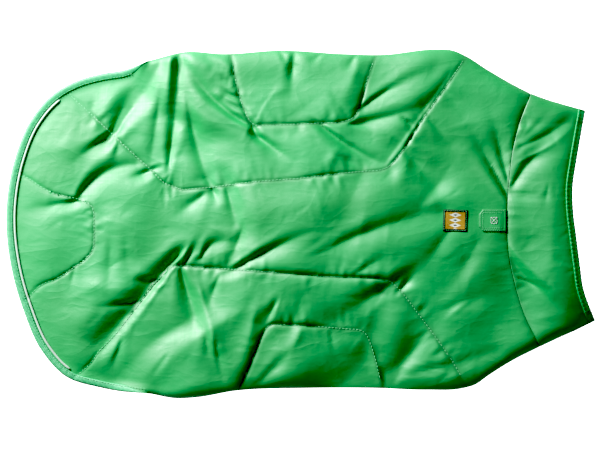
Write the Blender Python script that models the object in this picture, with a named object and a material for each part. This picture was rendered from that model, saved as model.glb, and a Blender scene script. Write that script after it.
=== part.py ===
"""A quilted dog winter coat, laid flat on its chest with its back uppermost.

The coat is a sleeveless tube of padded cloth: one back panel that wraps round both sides, a chest
panel sewn between its edges, two leg openings and a stand-up collar. Laid flat, the sides fold under
and the back lies on the chest. Each panel is a wall worked out from two surfaces, an outer and an
inner one, over the same plan: x runs from the tail (-) to the neck (+), y to the far side (+), and
the coat rests on z = 0. All sizes in the tables are millimetres.
"""

import bpy
import numpy as np
from mathutils import Matrix
from mathutils.geometry import delaunay_2d_cdt

MM = 0.001

# ---- driving sizes, millimetres -----------------------------------------------------------------
LINING_GAP = 1.0  # air between the back's lining and the layer under it
UNDER_WALL = 6.5  # the folded-under sides and the chest panel
EDGE_WALL = 2.4  # any panel where a binding holds its edge flat
EDGE_CLEARANCE = 1.5  # a bound edge is this far off the floor: the tape runs under it
STITCHED_WALL = 7.0  # the back where a quilting line pulls it down
QUILT_LOFT = 12.5  # the padding's rise between quilting lines
QUILT_REACH = 17.0  # how far from a line the padding takes to rise
BODY_SWELL = 3.5  # the middle of the body stands this much higher
BORDER_STRIP = 9.6  # flat strip inside the hem for the tape and the piping
SIDE_ROLL = 36.0  # how far in from a side fold the rounding reaches
SIDE_MIDDLE = 11.5  # height of a side fold's outermost line
UNDER_ROLL = 13.0  # how far in the rounding reaches on the underside
SIDE_WALL = 8.0  # the wall where it turns at a side fold
SEAM_GAP = 0.35  # between two panels at a seam
TAPE_WIDTH = 6.0  # finished width of the binding tape
TAPE_WALL = 1.0
TAPE_GAP = 0.4
CORNER_SKIP = 3  # stations of the hem left bare beside a side fold
PIPING_RADIUS = 1.1
NECK_RISE = 9.0  # how far the neck edge gapes at its middle
NECK_DEPTH = 95.0  # how far the gap reaches into the coat

TAIL_X = -143.5  # where the hem meets both side folds
LIFT = UNDER_WALL + LINING_GAP  # height of the back's lining over the lower layer


def table(columns, *rows):
    """A table as one array for each named column."""
    return dict(zip(columns.split(), np.array(rows, float).T))


# ---- outlines seen from above, far side first ----------------------------------------------------
HEM = table(
    "x y",
    (TAIL_X, 157.0), (-166, 147.5), (-190, 143.3), (-212.5, 137), (-235, 124.5), (-257, 99),
    (-271.6, 64), (-280.2, 12), (-274, -48), (-264, -81.5), (-246.5, -120.5), (-223.5, -145),
    (-190, -155.6), (TAIL_X, -162.0),
)
FAR_FOLD = table(
    "x y",
    (TAIL_X, 157.0), (-108, 165.2), (-74, 163), (-17, 166.3), (41, 163), (80, 162.2), (130, 167.3),
    (146, 166.5), (158, 161.5), (179, 148.3), (202, 135), (221, 125.2),
)
NEAR_FOLD = table(
    "x y",
    (TAIL_X, -162.0), (-118, -166.4), (-100, -165.5), (-62, -159), (6, -156.3), (75, -156.3),
    (121, -158), (156, -156.5), (168, -153), (179, -145.4), (202, -131), (229.5, -117),
)
COLLAR_SEAM = table(
    "x y",
    (221, 125.2), (210.5, 100), (203, 71.5), (199, 38), (197.3, 0), (199, -29), (204, -53),
    (214.5, -87), (229.5, -117),
)
NECK_EDGE = table(
    "x y",
    (272.5, 109.5), (267.3, 83), (263, 60), (259.3, 35), (259.8, 12), (262.5, -10), (266.5, -41),
    (269.5, -61), (275, -77), (282, -92.5),
)
COLLAR_FAR_FOLD = table("x y", (221, 125.2), (236, 119.8), (254, 114.6), (272.5, 109.5))
COLLAR_NEAR_FOLD = table("x y", (229.5, -117), (248, -108.5), (265, -101), (282, -92.5))

# The underside, one half: a row for each station from the hem's corner to the throat. side is the
# folded-under side's inner edge, and gap is the space between it and the chest panel.
UNDERSIDE = table(
    "x side gap",
    (-45, 76, SEAM_GAP), (5, 74.5, SEAM_GAP), (50, 73, SEAM_GAP), (64, 80, 19), (82, 96, 50),
    (105, 104, 64), (130, 99, 57), (150, 80, 28), (166, 60, SEAM_GAP), (203, 57, SEAM_GAP),
)
FAR_TURNED_HEM = table("x y", (TAIL_X, 157.0), (-98, 113), (-45, 76))
NEAR_TURNED_HEM = table("x y", (TAIL_X, -162.0), (-98, -114), (-45, -76))
FAR_THROAT_SEAM = table("x y", (221, 125.2), (210, 90), (203, 57))
NEAR_THROAT_SEAM = table("x y", (229.5, -117), (212, -85), (203, -57))
BELLY_EDGE = table("x y", (-45, 75.65), (-35, 40), (-31, 0), (-35, -40), (-45, -75.65))
THROAT_FRONT = table("x y", (203, 56.65), (200.5, 28), (199.5, 0), (200.5, -28), (203, -56.65))

# ---- quilting lines on the back ------------------------------------------------------------------
QUILTING = {
    "far_channel": table(
        "x y",
        (-223, 127), (-196, 102), (-143.5, 54.5), (-129, 41), (-114.5, 34.5), (-83, 35), (0, 43.7),
        (80, 52), (90, 58.5), (106, 83), (144.5, 138.7), (161, 163),
    ),
    "near_channel": table(
        "x y",
        (-216, -146), (-191.5, -120.5), (-143.5, -63), (-128.5, -46), (-115, -40), (-57, -42.7),
        (0, -47), (73, -50), (87, -54), (97, -64), (125, -104), (160, -155),
    ),
    "far_cell": table(
        "x y",
        (-66, 164), (-59, 129), (-50, 104), (-42, 95), (0, 95.5), (43, 96.5), (53, 103),
        (62, 129), (73, 163),
    ),
    "near_cell": table(
        "x y",
        (-58, -158), (-47.5, -132), (-37, -104), (-28, -95), (0, -96.5), (58, -99.4), (66, -105),
        (77, -140), (82, -157),
    ),
    "tail_cell": table(
        "x y",
        (-269, 47.5), (-244, 33), (-215.5, 25.5), (-200, 20), (-196, 9), (-197, -24), (-206, -36),
        (-230, -53), (-249, -59.5), (-262.5, -75),
    ),
}

# ---- the largest folds: a straight trough (-) or ridge (+) from one end to the other -------------
FOLDS = table(
    "x0 y0 x1 y1 width rise",
    (-114, 163, -126, 72, 8, -8.0),
    (-143, 154, -180, 92, 9, -7.0),
    (-184, 87, -213, 62, 8, -5.0),
    (-160, 57, -212, 28, 8, -7.0),
    (-274, 12, -214, 24, 6, -4.0),
    (-110, 148, -47, 95, 7, -5.0),
    (-106, 135, -86, 40, 9, -4.5),
    (-144, -62, -92, -14, 9, -6.5),
    (-66, -41, 4, -11, 8, -4.5),
    (-121, -42, -97, -110, 9, -4.5),
    (-24, -80, -57, -150, 9, -6.5),
    (89, -56, 34, -90, 9, -6.0),
    (139, -88, 84, -148, 12, 4.5),
    (20, 94, 87, 57, 7, -4.5),
    (60, 112, 118, 146, 8, -4.0),
    (158, 96, 196, 35, 9, -5.5),
)
COLLAR_FOLDS = table(
    "x0 y0 x1 y1 width rise",
    (206, 58, 264, 102, 6, 3.5),
    (205, 36, 262, 84, 6, -3.0),
    (200, -26, 274, -92, 7, 4.0),
)

# ---- spacing of points ---------------------------------------------------------------------------
EDGE_SPACING = 7.2
TOP_SPACING = 8.4  # between points of the back's outer face
LINING_SPACING = 17.0
SIDE_SPACING = 14.0
COLLAR_ROWS = 10
COLLAR_TOP_COLUMNS = 28
COLLAR_UNDER_COLUMNS = 13
CHEST_COLUMNS = 9
HEM_STEPS = (0.0, 6.8, BORDER_STRIP, 14.5, 21.0)  # rows measured in from a bound edge
FRONT_STEPS = (11.0, 4.5, 0.0)  # rows measured back from the collar seam
COLLAR_FOLD_STEPS = (0.0, 1.0, 3.6, 8.0)
NECK_STEPS = (9.0, 6.8, 0.0)  # collar rows measured back from the neck edge

# ---- curves and patches --------------------------------------------------------------------------
def smooth_step(t):
    """0 below 0, 1 above 1, and a soft S between."""
    t = np.clip(t, 0.0, 1.0)
    return t * t * (3 - 2 * t)


def rounded(t):
    """A quarter circle: 0 at t = 0, upright there, and level from t = 1 on."""
    return np.sqrt(1 - (1 - np.clip(t, 0.0, 1.0)) ** 2)


def monotone(x, y, at):
    """A curve through (x, y) that never swings past its points: cubic, with limited slopes."""
    step, rise = np.diff(x), np.diff(y) / np.diff(x)
    same = rise[:-1] * rise[1:] > 0
    inner = np.where(same, 2 * rise[:-1] * rise[1:] / np.where(same, rise[:-1] + rise[1:], 1), 0)
    slope = np.concatenate([rise[:1], inner, rise[-1:]])
    i = np.clip(np.searchsorted(x, at) - 1, 0, len(step) - 1)
    t = np.clip((at - x[i]) / step[i], 0, 1)
    ease = t * t * (3 - 2 * t)
    bend = slope[i] * t * (1 - t) ** 2 - slope[i + 1] * t * t * (1 - t)
    return y[i] + (y[i + 1] - y[i]) * ease + step[i] * bend


def curve(rows, samples=160):
    """A smooth line through a table's points, as evenly spaced samples."""
    points = np.stack([rows["x"], rows["y"]], axis=1)
    chord = np.concatenate([[0], np.cumsum(np.linalg.norm(np.diff(points, axis=0), axis=1))])
    tangent = np.gradient(points, chord, axis=0)
    at = np.linspace(0, chord[-1], 6 * samples)
    i = np.clip(np.searchsorted(chord, at, side="right") - 1, 0, len(chord) - 2)
    step = (chord[i + 1] - chord[i])[:, None]
    t = (at - chord[i])[:, None] / step
    line = (
        (2 * t**3 - 3 * t**2 + 1) * points[i]
        + (t**3 - 2 * t**2 + t) * step * tangent[i]
        + (3 * t**2 - 2 * t**3) * points[i + 1]
        + (t**3 - t**2) * step * tangent[i + 1]
    )
    return resampled(line, np.linspace(0, 1, samples))


def lengths(line):
    """How far along the line each of its points is."""
    return np.concatenate([[0], np.cumsum(np.linalg.norm(np.diff(line, axis=0), axis=1))])


def resampled(line, fractions):
    """Points at these fractions of the line's length."""
    along = lengths(line)
    at = np.asarray(fractions) * along[-1]
    return np.stack([np.interp(at, along, line[:, k]) for k in range(line.shape[1])], axis=-1)


def patch(first, last, start, end):
    """A plan patch inside four lines. u runs along first (v = 0) and last (v = 1); v runs along
    start (u = 0) and end (u = 1). Each point blends the four lines and takes off the corners."""

    def at(u, v):
        u1, v1 = u[..., None], v[..., None]
        sides = (1 - v1) * resampled(first, u) + v1 * resampled(last, u)
        ends = (1 - u1) * resampled(start, v) + u1 * resampled(end, v)
        corners = (1 - u1) * ((1 - v1) * first[0] + v1 * last[0])
        corners = corners + u1 * ((1 - v1) * first[-1] + v1 * last[-1])
        return sides + ends - corners

    return at


def fractions(length, from_start, from_end, count):
    """Places along a line of that length, as fractions: fixed distances at both ends, even between."""
    head = np.array(from_start) / length
    tail = 1 - np.array(from_end) / length
    middle = np.linspace(head[-1], tail[0], count - len(head) - len(tail) + 2)[1:-1]
    return np.concatenate([head, middle, tail])


def stations(line, spacing, head=(0.0,), tail=(0.0,)):
    """Distances along a line: fixed ones at both ends, even ones between."""
    size = lengths(line)[-1]
    count = int(round((size - head[-1] - tail[0]) / spacing)) + len(head) + len(tail) - 1
    return fractions(size, head, tail, count) * size


def along(line, distances):
    """The points of a line at these distances."""
    return resampled(line, distances / lengths(line)[-1])


def drawn_in(line, distances, at_start, at_end):
    """Distances moved in from a line's ends by these amounts, fading out over 26 mm."""
    start = at_start * (1 - smooth_step(distances / 26))
    end = at_end * (1 - smooth_step((lengths(line)[-1] - distances) / 26))
    return distances + start - end


def beside(points, offset):
    """A row of points to the left (+) or right (-) of a row of points."""
    forward = np.gradient(points, axis=0)
    left = np.stack([-forward[:, 1], forward[:, 0]], axis=1)
    left = left / np.linalg.norm(left, axis=1, keepdims=True)
    return points + np.reshape(offset, (-1, 1)) * left


def inside(outline, points):
    """Which points lie inside a closed outline."""
    a, b = outline, np.roll(outline, -1, axis=0)
    x, y = points[:, :1], points[:, 1:]
    spans = (a[:, 1] > y) != (b[:, 1] > y)
    rise = np.where(spans, b[:, 1] - a[:, 1], 1)
    crossing = a[:, 0] + (y - a[:, 1]) * (b[:, 0] - a[:, 0]) / rise
    return (spans & (x < crossing)).sum(1) % 2 == 1


def even_grid(outline, spacing):
    """Points of a triangular grid over an outline's box."""
    low, high = outline.min(0), outline.max(0)
    rise = spacing * np.sqrt(0.75)
    rows = np.arange(low[1], high[1], rise)
    columns = np.arange(low[0], high[0], spacing)
    x, y = np.meshgrid(columns, rows)
    x = x + spacing / 2 * (np.arange(len(rows)) % 2)[:, None]
    return np.stack([x, y], axis=-1).reshape(-1, 2)


def filled(outline, rows, spacing):
    """Points and triangles that fill an outline. rows holds (points, clear): each point is taken
    if it is inside and that far from all those before it. An even grid fills what is left."""
    taken = outline
    for points, clear in [*rows, (even_grid(outline, spacing), 0.62 * spacing)]:
        for point in points[inside(outline, points)]:
            if np.min(np.sum((taken - point) ** 2, axis=1)) > clear**2:
                taken = np.concatenate([taken, point[None]])
    rim = [(k, (k + 1) % len(outline)) for k in range(len(outline))]
    _, _, faces, source, _, _ = delaunay_2d_cdt(taken.tolist(), rim, [], 1, 1e-6)
    faces = np.array([[source[corner][0] for corner in face] for face in faces])
    return taken[len(outline) :], faces


def slid(plan, shift):
    """Each point moved along its own row of the grid by the shift given for it."""
    moved = np.empty_like(plan)
    for row, by, to in zip(plan, shift, moved):
        along = lengths(row)
        at = along + by
        to[:, 0] = np.interp(at, along, row[:, 0])
        to[:, 1] = np.interp(at, along, row[:, 1])
    return moved


def distance_to(line, x, y):
    """The plan distance from each point to a line of samples."""
    a, b = line[:-1], line[1:]
    along = b - a
    px, py = x[..., None] - a[:, 0], y[..., None] - a[:, 1]
    t = np.clip((px * along[:, 0] + py * along[:, 1]) / (along**2).sum(1), 0, 1)
    return np.hypot(px - t * along[:, 0], py - t * along[:, 1]).min(-1)


def side_edge(sign):
    """The inner edge of a folded-under side."""
    x = np.linspace(UNDERSIDE["x"][0], UNDERSIDE["x"][-1], 160)
    return np.stack([x, sign * monotone(UNDERSIDE["x"], UNDERSIDE["side"], x)], axis=1)


CURVES = {
    "far_side": side_edge(1),
    "near_side": side_edge(-1),
    "far_turned_hem": curve(FAR_TURNED_HEM),
    "near_turned_hem": curve(NEAR_TURNED_HEM),
    "far_throat": curve(FAR_THROAT_SEAM),
    "near_throat": curve(NEAR_THROAT_SEAM),
    "throat_front": curve(THROAT_FRONT),
    "hem": curve(HEM),
    "far_fold": curve(FAR_FOLD),
    "near_fold": curve(NEAR_FOLD),
    "collar_seam": curve(COLLAR_SEAM),
    "neck_edge": curve(NECK_EDGE),
    "collar_far_fold": curve(COLLAR_FAR_FOLD),
    "collar_near_fold": curve(COLLAR_NEAR_FOLD),
}
QUILT_CURVES = [curve(rows, 60) for rows in QUILTING.values()]


# ---- heights --------------------------------------------------------------------------------------
def lower_layer_edge(y):
    """x of the lower layer's rear edge: the turned hem at the sides, the belly edge between."""
    far = monotone(np.array([0, 76, 114, 170.0]), np.array([-31, -45, -98, -152.0]), np.abs(y))
    return far


def neck_gape(x, y):
    """How far the upper layer stands off the lower one towards the neck: a flat lens."""
    across = np.clip(1 - ((y - 4) / 92) ** 2, 0, 1)
    return NECK_RISE * smooth_step((x - 255 + NECK_DEPTH) / NECK_DEPTH) * across


def lining_height(x, y):
    """z of the back's lining: it lies on the lower layer, and comes down to the floor behind it."""
    past = (x - lower_layer_edge(y)) * 0.8 + 38
    return LIFT * smooth_step(past / 34) + neck_gape(x, y)


def creases(rows, x, y):
    """The sum of straight troughs and ridges, each tapering to both ends and bell-shaped across."""
    total = np.zeros_like(x)
    for x0, y0, x1, y1, width, rise in zip(*rows.values()):
        along = np.array([x1 - x0, y1 - y0])
        t = ((x - x0) * along[0] + (y - y0) * along[1]) / (along @ along)
        off = np.abs((x - x0) * along[1] - (y - y0) * along[0]) / np.linalg.norm(along)
        taper = smooth_step(t / 0.3 + 0.25) * smooth_step((1 - t) / 0.35)
        total += rise * taper * np.exp(-((off / width) ** 2))
    return total


def quilted_wall(x, y):
    """The back's thickness: thin at the hem and along the quilting lines, lofty between them."""
    from_line = np.min([distance_to(line, x, y) for line in QUILT_CURVES], axis=0)
    from_seam = distance_to(CURVES["collar_seam"], x, y)
    loft = QUILT_LOFT * (1 - np.exp(-np.minimum(from_line, 1.4 * from_seam) / QUILT_REACH))
    swell = BODY_SWELL * np.exp(-(((x - 20) / 150) ** 2) - (y / 85) ** 2)
    full = STITCHED_WALL + loft + swell + creases(FOLDS, x, y)
    from_hem = distance_to(CURVES["hem"], x, y)
    bound = 1 - np.exp(-np.maximum(from_hem - BORDER_STRIP, 0) / 12)
    return EDGE_WALL + np.maximum(full - EDGE_WALL, 1.5) * bound


def along_side(x, at_tail, on_body, at_collar):
    """A side fold's size: small where it starts at the hem, full on the body, less at the collar."""
    grown = at_tail + (on_body - at_tail) * smooth_step((x - TAIL_X) / 75)
    return grown + (at_collar - grown) * smooth_step((x - 165) / 50)


def side_middle(x):
    return along_side(x, 5.6, SIDE_MIDDLE, 9.0)


def side_distance(x, y):
    """How far in from the nearer side fold a point is."""
    folds = [distance_to(CURVES[name], x, y) for name in ("far_fold", "near_fold")]
    return np.minimum(*folds)


def back_top(x, y):
    """z of the back's outer face, rounding down to the middle of the side folds."""
    full = lining_height(x, y) + quilted_wall(x, y)
    middle = side_middle(x)
    return middle + (full - middle) * rounded(side_distance(x, y) / along_side(x, 5.0, SIDE_ROLL, 16.0))


def collar_wall(x, y):
    """The collar's upper wall: thin at its seam and under the neck tape, padded between."""
    from_seam = distance_to(CURVES["collar_seam"], x, y)
    from_neck = distance_to(CURVES["neck_edge"], x, y)
    full = STITCHED_WALL + 4.5 * (1 - np.exp(-from_seam / 9)) + creases(COLLAR_FOLDS, x, y)
    bound = 1 - np.exp(-np.maximum(from_neck - 9, 0) / 9)
    return EDGE_WALL + np.maximum(full - EDGE_WALL, 1.5) * bound


def collar_side_distance(x, y):
    folds = [distance_to(CURVES[name], x, y) for name in ("collar_far_fold", "collar_near_fold")]
    return np.minimum(*folds)


def collar_middle(x):
    return 9.0 - 3.6 * smooth_step((x - 222) / 45)


def collar_top(x, y):
    full = LIFT + neck_gape(x, y) + collar_wall(x, y) - 2.2 * smooth_step((x - 225) / 40)
    middle = collar_middle(x)
    return middle + (full - middle) * rounded(collar_side_distance(x, y) / 14)


# ---- meshes ----------------------------------------------------------------------------------------
def wall_faces(rows, columns, keep_rows, keep_columns):
    """Faces of a wall whose outer grid has every row and column and whose inner grid only the kept
    ones, and of the four rims that join them. Outer points come first, row by row."""
    outer = np.arange(rows * columns).reshape(rows, columns)
    inner = rows * columns + np.arange(len(keep_rows) * len(keep_columns))
    inner = inner.reshape(len(keep_rows), len(keep_columns))
    faces = []

    def grid(index, flip):
        quads = np.stack([index[:-1, :-1], index[1:, :-1], index[1:, 1:], index[:-1, 1:]], axis=-1)
        quads = quads.reshape(-1, 4)
        faces.extend(quads[:, ::-1].tolist() if flip else quads.tolist())

    def rim(fine, coarse, kept, flip):
        for n, (a, b) in enumerate(zip(kept[:-1], kept[1:])):
            strip = [[fine[k], fine[k + 1], coarse[n]] for k in range(a, b)]
            strip.append([fine[b], coarse[n + 1], coarse[n]])
            faces.extend([face[::-1] for face in strip] if flip else strip)

    grid(outer, True)
    grid(inner, False)
    rim(outer[0], inner[0], keep_columns, True)
    rim(outer[-1], inner[-1], keep_columns, False)
    rim(outer[:, 0], inner[:, 0], keep_rows, False)
    rim(outer[:, -1], inner[:, -1], keep_rows, True)
    return faces


def swept_faces(stations, section):
    """Faces of a closed section carried along stations, with both ends capped."""
    faces = []
    for i in range(stations - 1):
        for k in range(section):
            n = (k + 1) % section
            a, b = i * section, (i + 1) * section
            faces.append([a + k, a + n, b + n, b + k])
    faces.append(list(range(section))[::-1])
    faces.append([(stations - 1) * section + k for k in range(section)])
    return faces


def volume(points, faces):
    """Signed volume inside closed faces: negative when they face inward."""
    fans = [(face[0], face[k], face[k + 1]) for face in faces for k in range(1, len(face) - 1)]
    a, b, c = (points[np.array(corner)] for corner in zip(*fans))
    return np.einsum("ij,ij->", a, np.cross(b, c)) / 6


def add_node(name, points, faces, material):
    """One named object from points in millimetres, its faces turned outward."""
    if volume(points, faces) < 0:
        faces = [face[::-1] for face in faces]
    mesh = bpy.data.meshes.new(name)
    mesh.from_pydata((points * MM).tolist(), [], faces)
    mesh.materials.append(material)
    mesh.update()
    mesh.shade_smooth()
    mesh.set_sharp_from_angle(angle=np.radians(50))
    node = bpy.data.objects.new(name, mesh)
    bpy.context.scene.collection.objects.link(node)
    return node


def cloth(name, colour, roughness, metallic=0.0):
    material = bpy.data.materials.new(name)
    material.use_nodes = True
    shader = material.node_tree.nodes["Principled BSDF"]
    shader.inputs["Base Color"].default_value = (*colour, 1)
    shader.inputs["Roughness"].default_value = roughness
    shader.inputs["Metallic"].default_value = metallic
    return material


# ---- the back panel --------------------------------------------------------------------------------
def hem_rows(length):
    """Row places along a line from a bound edge to the throat, as fractions."""
    return fractions(length, HEM_STEPS, FRONT_STEPS, 46)


def fold_wall(x):
    """The wall's thickness where it turns at a side fold."""
    return along_side(x, EDGE_WALL, SIDE_WALL, 6.0)


def off_edge(distance):
    """Height of a bound edge over the floor, coming down to 0 past the tape."""
    return EDGE_CLEARANCE * (1 - smooth_step((distance - 6) / 8))


def side_under(x, y, side):
    """z of a folded-under side's outer face: flat on the floor, rising to the fold's middle."""
    from_fold = distance_to(CURVES[side + "_fold"], x, y)
    from_hem = distance_to(CURVES[side + "_turned_hem"], x, y)
    middle = side_middle(x)
    rise = middle * (1 - rounded(from_fold / along_side(x, 5.0, UNDER_ROLL, 8.0)))
    return np.maximum(rise, off_edge(from_hem))


def side_over(x, y, side):
    """z of a folded-under side's inner face."""
    from_hem = distance_to(CURVES[side + "_turned_hem"], x, y)
    edge = EDGE_CLEARANCE + EDGE_WALL
    return edge + (UNDER_WALL - edge) * smooth_step((from_hem - 9) / 15)


def lining(x, y):
    """z of the back's inner face, with the hem held up off the floor for its tape."""
    z = lining_height(x, y)
    clear = off_edge(distance_to(CURVES["hem"], x, y))
    return z + clear * (1 - z / LIFT).clip(0, 1)


def back_edges(inner):
    """Plan points of every edge of the back panel, far to near or tail to neck, and of its side
    folds. The inner face's edges are drawn in by the wall at both folds."""
    at_tail, at_neck = (EDGE_WALL, 6.0) if inner else (0.0, 0.0)
    near_corner = (0.0, 2.0, 6.0, 12.0)
    hem = stations(CURVES["hem"], EDGE_SPACING, near_corner, near_corner[::-1])
    seam = stations(CURVES["collar_seam"], EDGE_SPACING, (0.0, 1.5, 4.5, 10.0), (10.0, 4.5, 1.5, 0.0))
    edges = {
        "hem": along(CURVES["hem"], drawn_in(CURVES["hem"], hem, at_tail, at_tail)),
        "seam": along(CURVES["collar_seam"], drawn_in(CURVES["collar_seam"], seam, at_neck, at_neck)),
    }
    for side, end, sign in (("far", 0, -1), ("near", -1, 1)):
        turned, throat = CURVES[side + "_turned_hem"], CURVES[side + "_throat"]
        place = stations(turned, EDGE_SPACING, near_corner, (2.2, 0.0))
        edges[side + "_turned"] = along(turned, drawn_in(turned, place, at_tail, 0))
        place = stations(throat, EDGE_SPACING, (0.0, 1.5, 4.5, 10.0))
        edges[side + "_throat"] = along(throat, drawn_in(throat, place, at_neck, 0))
        edge = CURVES[side + "_side"]
        edges[side + "_side"] = resampled(edge, hem_rows(lengths(edge)[-1]))
        fold = CURVES[side + "_fold"]
        points = along(fold, stations(fold, EDGE_SPACING, (0.0, 3.0), (3.0, 0.0)))
        if inner:
            points = beside(points, sign * fold_wall(points[:, 0]))
            points[0], points[-1] = edges["hem"][end], edges["seam"][end]
            edges[side + "_turned"][0], edges[side + "_throat"][0] = points[0], points[-1]
        edges[side + "_fold"] = points
    return edges


def fold_rows(edges, offsets, sides):
    """Rows beside the side folds; offsets holds (distance in, clear)."""
    rows = []
    for offset, clear in offsets:
        for side in sides:
            inward = -1 if side == "far" else 1
            rows.append((beside(edges[side + "_fold"], inward * offset), clear))
    return rows


def quilt_rows():
    """Points on the quilting lines, then on both sides of them."""
    lines = [along(line, stations(line, 7.5)) for line in QUILT_CURVES]
    rows = [(line, 3.6) for line in lines]
    for line in lines:
        rows += [(beside(line, 4.6), 3.6), (beside(line, -4.6), 3.6)]
    return rows


def back_face(edges, inner):
    """One face of the back panel, outer or inner: points and triangles. The panel's edge comes
    first, in order round the panel."""
    far_edge = [edges["far_turned"][::-1][:-1], edges["hem"], edges["near_turned"][1:]]
    front = [edges["near_side"][1:], edges["near_throat"][::-1][1:], edges["seam"][::-1][1:]]
    last = [edges["far_throat"][1:], edges["far_side"][::-1][1:-1]]
    pieces = far_edge + front + last
    ends = np.cumsum([len(piece) for piece in pieces])
    starts = ends - [len(piece) for piece in pieces]
    loop = np.concatenate(pieces)
    count = len(loop)
    index = [np.arange(start, end) for start, end in zip(starts, ends)]
    folds = {}
    for side in ("far", "near"):
        body = edges[side + "_fold"][1:-1]
        folds[side] = np.arange(count, count + len(body))
        count += len(body)
    plan = np.concatenate([loop, edges["far_fold"][1:-1], edges["near_fold"][1:-1]])

    tail_far, tail_near = index[1][:1], index[1][-1:]
    neck_far, neck_near = index[5][-1:], index[4][-1:]
    far_corner, near_corner = index[0][:1], index[2][-1:]
    outlines = {
        "top": [index[1], folds["near"], neck_near, index[5], folds["far"][::-1]],
        "far": [tail_far, folds["far"], neck_far, index[6], index[7], index[0]],
        "near": [tail_near, folds["near"], neck_near, index[4][::-1][1:], index[3][::-1]],
    }
    outlines["near"] += [near_corner, index[2][::-1][1:]]
    hem_row = [(beside(edges["hem"], step), 0.6 * gap) for step, gap in ((6.8, 6.8), (9.6, 2.8))]
    seam_row = [(beside(edges["seam"], -4.5), 3.0), (beside(edges["seam"], -11.0), 4.0)]
    if inner:
        near_fold = ((4.0, 2.4), (12.0, 4.8))
        rows = {
            "top": fold_rows(edges, near_fold, ("far", "near")) + hem_row[:1] + seam_row[:1],
            "far": fold_rows(edges, near_fold, ("far",)),
            "near": fold_rows(edges, near_fold, ("near",)),
        }
        spacing = {"top": LINING_SPACING, "far": SIDE_SPACING, "near": SIDE_SPACING}
    else:
        over = ((1.2, 0.8), (4.5, 2.2), (11.0, 4.0), (20.0, 4.5))
        below = ((1.2, 0.8), (4.5, 2.2), (9.0, 3.0), (14.0, 3.0))
        rows = {
            "top": hem_row + fold_rows(edges, over, ("far", "near")) + seam_row + quilt_rows(),
            "far": fold_rows(edges, below, ("far",)),
            "near": fold_rows(edges, below, ("near",)),
        }
        spacing = {"top": TOP_SPACING, "far": SIDE_SPACING, "near": SIDE_SPACING}
    for side, left in (("far", 1), ("near", -1)):
        turned = edges[side + "_turned"]
        rows[side] += [(beside(turned, left * 6.8), 4.0), (beside(turned, left * 14.5), 4.0)]

    height = np.zeros(len(plan))
    faces = []
    for part, pieces in outlines.items():
        outline = np.concatenate(pieces)
        added, triangles = filled(plan[outline], rows[part], spacing[part])
        everywhere = np.concatenate([outline, np.arange(len(plan), len(plan) + len(added))])
        x, y = np.concatenate([plan[outline], added]).T
        if part == "top":
            z = lining(x, y) if inner else back_top(x, y)
        else:
            z = side_over(x, y, part) if inner else side_under(x, y, part)
        plan = np.concatenate([plan, added])
        height = np.concatenate([height, np.zeros(len(added))])
        height[everywhere] = z
        triangles = everywhere[triangles]
        faces.append(triangles if (part == "top") != inner else triangles[:, ::-1])
    middles = [folds["far"], folds["near"], tail_far, tail_near, neck_far, neck_near]
    middle = np.concatenate(middles)
    x, y = plan[middle].T
    height[middle] = (side_over(x, y, "far") + lining(x, y)) / 2 if inner else side_middle(x)
    points = np.concatenate([plan, height[:, None]], axis=1)
    return points, np.concatenate(faces), len(loop)


def add_back_panel(shell):
    """The back and both folded-under sides in one piece."""
    outer, outer_faces, loop = back_face(back_edges(False), False)
    inner, inner_faces, _ = back_face(back_edges(True), True)
    ring = np.arange(loop)
    ahead = np.roll(ring, -1)
    rim = np.stack([ahead, ring, len(outer) + ring, len(outer) + ahead], axis=1)
    faces = outer_faces.tolist() + (inner_faces + len(outer)).tolist() + rim.tolist()
    add_node("back_panel", np.concatenate([outer, inner]), faces, shell)


# ---- the chest panel -------------------------------------------------------------------------------
def add_chest_panel(shell):
    """The lower layer between the folded-under sides. Its edge keeps the sides' stations."""
    side = CURVES["far_side"]
    x_at, half_at = resampled(side, hem_rows(lengths(side)[-1])).T
    half_at = half_at - monotone(UNDERSIDE["x"], UNDERSIDE["gap"], x_at)
    v = np.linspace(1, -1, CHEST_COLUMNS)
    y = half_at[:, None] * v
    belly, throat = curve(BELLY_EDGE), CURVES["throat_front"]
    bow_rear = np.interp(v, belly[::-1, 1] / belly[0, 1], belly[::-1, 0]) - x_at[0]
    bow_front = np.interp(v, throat[::-1, 1] / throat[0, 1], throat[::-1, 0]) - x_at[-1]
    t = (x_at - x_at[0]) / (x_at[-1] - x_at[0])
    x = x_at[:, None] + bow_rear * (1 - smooth_step(t / 0.45))[:, None]
    x = x + bow_front * smooth_step((t - 0.6) / 0.4)[:, None]
    from_rear = x - x[0]
    clearance = EDGE_CLEARANCE * (1 - smooth_step((from_rear - 6) / 8))
    upper = EDGE_CLEARANCE + EDGE_WALL
    lining = upper + (UNDER_WALL - upper) * smooth_step((from_rear - 9) / 15)
    outer = np.stack([x, y, clearance], axis=-1)
    inner = np.stack([x, y, lining], axis=-1)
    rows, columns = x.shape
    points = np.concatenate([outer.reshape(-1, 3), inner.reshape(-1, 3)])
    faces = wall_faces(rows, columns, list(range(rows)), list(range(columns)))
    add_node("chest_panel", points, faces, shell)
    return outer, inner


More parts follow.
